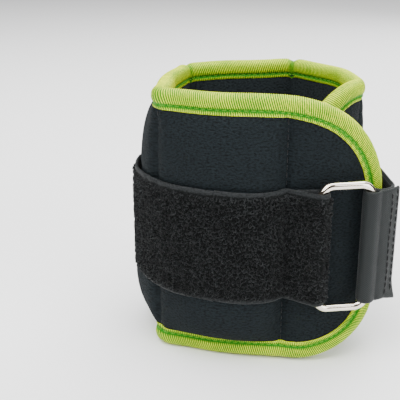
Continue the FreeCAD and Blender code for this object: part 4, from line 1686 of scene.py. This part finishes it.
@dataclass
class Studio:
    """The floor, the lights and the camera.

    Args:
        eye: the camera's place.
        pitch: how far it looks down, in degrees.
        focal: focal length as a multiple of the picture's width.
    """

    eye: tuple[float, float, float] = (-28.8 * MM, -353.0 * MM, 189.0 * MM)
    pitch: float = 20.0
    focal: float = 2.0

    def build(self) -> None:
        """Make the floor, four soft lights, the surround and the camera."""
        self._floor()
        self._light("key", (-0.55, -0.70, 0.95), 0.9, 17.0)
        self._light("fill", (0.85, -0.75, 0.45), 0.8, 12.0)
        self._light("top", (0.0, 0.10, 1.1), 1.3, 32.0)
        self._light("rim", (0.5, 0.7, 0.6), 0.8, 6.0)
        self._sky()
        camera = bpy.data.cameras.new("camera")
        camera.sensor_width = 36.0
        camera.lens = 36.0 * self.focal
        camera.clip_start = 0.01
        obj = bpy.data.objects.new("camera", camera)
        obj.location = self.eye
        obj.rotation_euler = (math.radians(90.0 - self.pitch), 0.0, 0.0)
        bpy.context.scene.collection.objects.link(obj)
        bpy.context.scene.camera = obj

    @staticmethod
    def _sky() -> None:
        """Make a plain studio surround: dim near the floor and brighter overhead."""
        world = bpy.data.worlds.new("sky")
        world.use_nodes = True
        tree = world.node_tree
        where = tree.nodes.new("ShaderNodeTexCoord")
        split = tree.nodes.new("ShaderNodeSeparateXYZ")
        ramp = tree.nodes.new("ShaderNodeValToRGB")
        ramp.color_ramp.elements[0].position = 0.52
        ramp.color_ramp.elements[0].color = (0.055, 0.045, 0.036, 1.0)
        ramp.color_ramp.elements[1].position = 0.85
        ramp.color_ramp.elements[1].color = (0.85, 0.86, 0.88, 1.0)
        tree.links.new(where.outputs["Generated"], split.inputs[0])
        tree.links.new(split.outputs[2], ramp.inputs[0])
        tree.links.new(ramp.outputs[0], tree.nodes["Background"].inputs[0])
        bpy.context.scene.world = world

    @staticmethod
    def _floor() -> None:
        """Make a plain pale floor under the cuff."""
        bottom = float(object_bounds()[0][2])
        mesh = bpy.data.meshes.new("floor")
        half = 3.0
        corners = [(x * half, y * half, bottom) for x, y in ((-1, -1), (1, -1), (1, 1), (-1, 1))]
        mesh.from_pydata(corners, [], [(0, 1, 2, 3)])
        material = bpy.data.materials.new("pale_floor")
        material.use_nodes = True
        shader = material.node_tree.nodes["Principled BSDF"]
        shader.inputs["Base Color"].default_value = (0.93, 0.93, 0.93, 1.0)
        shader.inputs["Roughness"].default_value = 0.9
        mesh.materials.append(material)
        obj = bpy.data.objects.new("floor", mesh)
        bpy.context.scene.collection.objects.link(obj)
        obj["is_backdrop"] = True

    @staticmethod
    def _light(name: str, place: tuple[float, float, float], size: float, power: float) -> None:
        """Make a square soft light that points at the cuff's middle."""
        data = bpy.data.lights.new(name, "AREA")
        data.size = size
        data.energy = power
        obj = bpy.data.objects.new(name, data)
        obj.location = place
        aim = Vector((0.0, 0.0, 0.06)) - Vector(place)
        obj.rotation_euler = aim.to_track_quat("-Z", "Y").to_euler()
        bpy.context.scene.collection.objects.link(obj)


def grain_template() -> MeshData:
    """Return a grain of unit radius: the twelve corners and twenty faces of an icosahedron."""
    golden = (1.0 + math.sqrt(5.0)) / 2.0
    corner = np.array([(-1, golden, 0), (1, golden, 0), (-1, -golden, 0), (1, -golden, 0)], dtype=float)
    corner = np.concatenate([corner, np.roll(corner, 1, axis=1), np.roll(corner, 2, axis=1)])
    corner /= np.linalg.norm(corner[0])
    near = np.linalg.norm(corner[:, None] - corner[None], axis=2) < 1.1
    caps = []
    for i, j, k in itertools.combinations(range(12), 3):
        if near[i, j] and near[j, k] and near[i, k]:
            turn = float(np.dot(np.cross(corner[i], corner[j]), corner[k]))
            caps.append([i, j, k] if turn > 0.0 else [i, k, j])
    return MeshData(corner, np.zeros((0, 4), dtype=int), caps)


@dataclass
class Filling:
    """The sewn pouch of iron shot inside each pocket.

    Args:
        plan: the strip.
        palette: the materials.
        rng: the source of the grains' unevenness.
        wall: the pouch cloth's thickness.
        grain: the grains' radius.
        pitch: distance between grains.
    """

    plan: CuffPlan
    palette: Palette
    rng: np.random.Generator
    wall: float = 0.5 * MM
    grain: float = 1.15 * MM
    pitch: float = 2.6 * MM

    def build(self) -> list[bpy.types.Object]:
        """Make a pouch and its shot for every pocket.

        Returns:
            The new objects.
        """
        made = []
        for part in ORDER[1:-1]:
            cloth, iron = self.palette.material(POUCH), self.palette.material(SHOT)
            pouch = to_object(f"pouch_{part.value}", self._pouch(part), cloth)
            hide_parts(f"{part.value}_weight_pouch")
            shot = to_object(f"shot_{part.value}", self._shot(part), iron)
            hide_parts(f"{part.value}_iron_shot")
            for obj in (pouch, shot):
                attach(obj, BODY_OF[part])
                made.append(obj)
        return made

    def _room(self, part: Part, s: np.ndarray, z: np.ndarray) -> tuple[np.ndarray, np.ndarray]:
        """Return the pocket's inside, from just off the lining to just under the cover."""
        low = 0.0 * s - HALF_SANDWICH + LINING_THICKNESS + 0.25 * MM
        high = cover_offset(self.plan, s, z) - COVER_THICKNESS - 0.35 * MM
        return low, np.maximum(high, low + 3.0 * self.wall)

    def _limits(self, part: Part) -> tuple[float, float, float, float]:
        """Return the pouch's ends along the strip, and its bottom and top."""
        inset, rim = 6.5 * MM, BINDING_HEIGHT + 4.5 * MM
        start, end = self.plan.start_of(part) + inset, self.plan.end_of(part) - inset
        return start, end, self.plan.bottom + rim, self.plan.top - rim

    def _pouch(self, part: Part) -> MeshData:
        """Make the pouch: a closed pad that fills the pocket's inside and thins towards its edges."""
        start, end, low, high = self._limits(part)
        s = np.linspace(start, end, 60)

        def outer(along: np.ndarray, z: np.ndarray) -> np.ndarray:
            """Return the pouch's outer face, which closes over 5 mm at its edges."""
            edge = np.minimum(np.minimum(along - start, end - along), np.minimum(z - low, high - z))
            full = smoothstep(edge, 0.0, 5.0 * MM)
            floor, roof = self._room(part, along, z)
            return floor + 3.0 * self.wall * 0.9 + (roof - floor - 3.0 * self.wall) * full

        def inner(along: np.ndarray, z: np.ndarray) -> np.ndarray:
            """Return the pouch's inner face."""
            return self._room(part, along, z)[0]

        return sheet_mesh(self.plan, s, np.full(60, low), np.full(60, high), 90, outer, inner)

    def _shot(self, part: Part) -> MeshData:
        """Make the shot: a jittered grid of 20-sided grains that stays inside the pouch."""
        start, end, low, high = self._limits(part)
        edge = 5.0 * MM
        axes = [
            np.arange(start + edge, end - edge, self.pitch),
            np.arange(low + edge, high - edge, self.pitch),
            np.arange(0.0, 16.0 * MM, self.pitch),
        ]
        s, z, up = (g.ravel() for g in np.meshgrid(*axes, indexing="ij"))
        shift = self.rng.uniform(-0.08, 0.08, (3, s.size)) * self.pitch
        s, z = s + shift[0], z + shift[1]
        floor, roof = self._room(part, s, z)
        level = floor + self.wall + self.grain + up + np.abs(shift[2])
        keep = level + self.grain + self.wall < roof
        origins = self.plan.place(s[keep], z[keep], level[keep])
        template = grain_template()
        count = int(keep.sum())
        turned = np.tile(np.eye(3), (count, 1, 1))
        return copies(template, origins, turned, self.grain * self.rng.uniform(0.9, 1.0, count))


def main() -> None:
    """Build the cuff over its frame and log what was made."""
    logging.basicConfig(level=logging.INFO, format="%(message)s")
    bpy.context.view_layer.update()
    rng = np.random.default_rng(7)
    plan = CuffPlan()
    palette = Palette()
    spans = [Span(plan, a, b) for a, b in zip(ORDER[:-1], ORDER[1:])]
    pile = PileStrap(plan, palette, spans, rng)
    made = Shell(plan, palette, spans).build()
    made += EdgeBinding(plan, palette, spans).build()
    made += pile.build()
    made += HookStrap(plan, palette, pile, rng).build()
    made += Ring(palette).build()
    made += SeamStitches(plan, palette, spans).build()
    made += Filling(plan, palette, rng).build()
    Studio().build()
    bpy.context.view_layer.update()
    triangles = sum(len(p.vertices) - 2 for o in made for p in o.data.polygons)
    LOG.info("%d pieces, %d triangles, strip %.0f mm long", len(made), triangles, plan.length / MM)


if __name__ == "__main__":
    main()
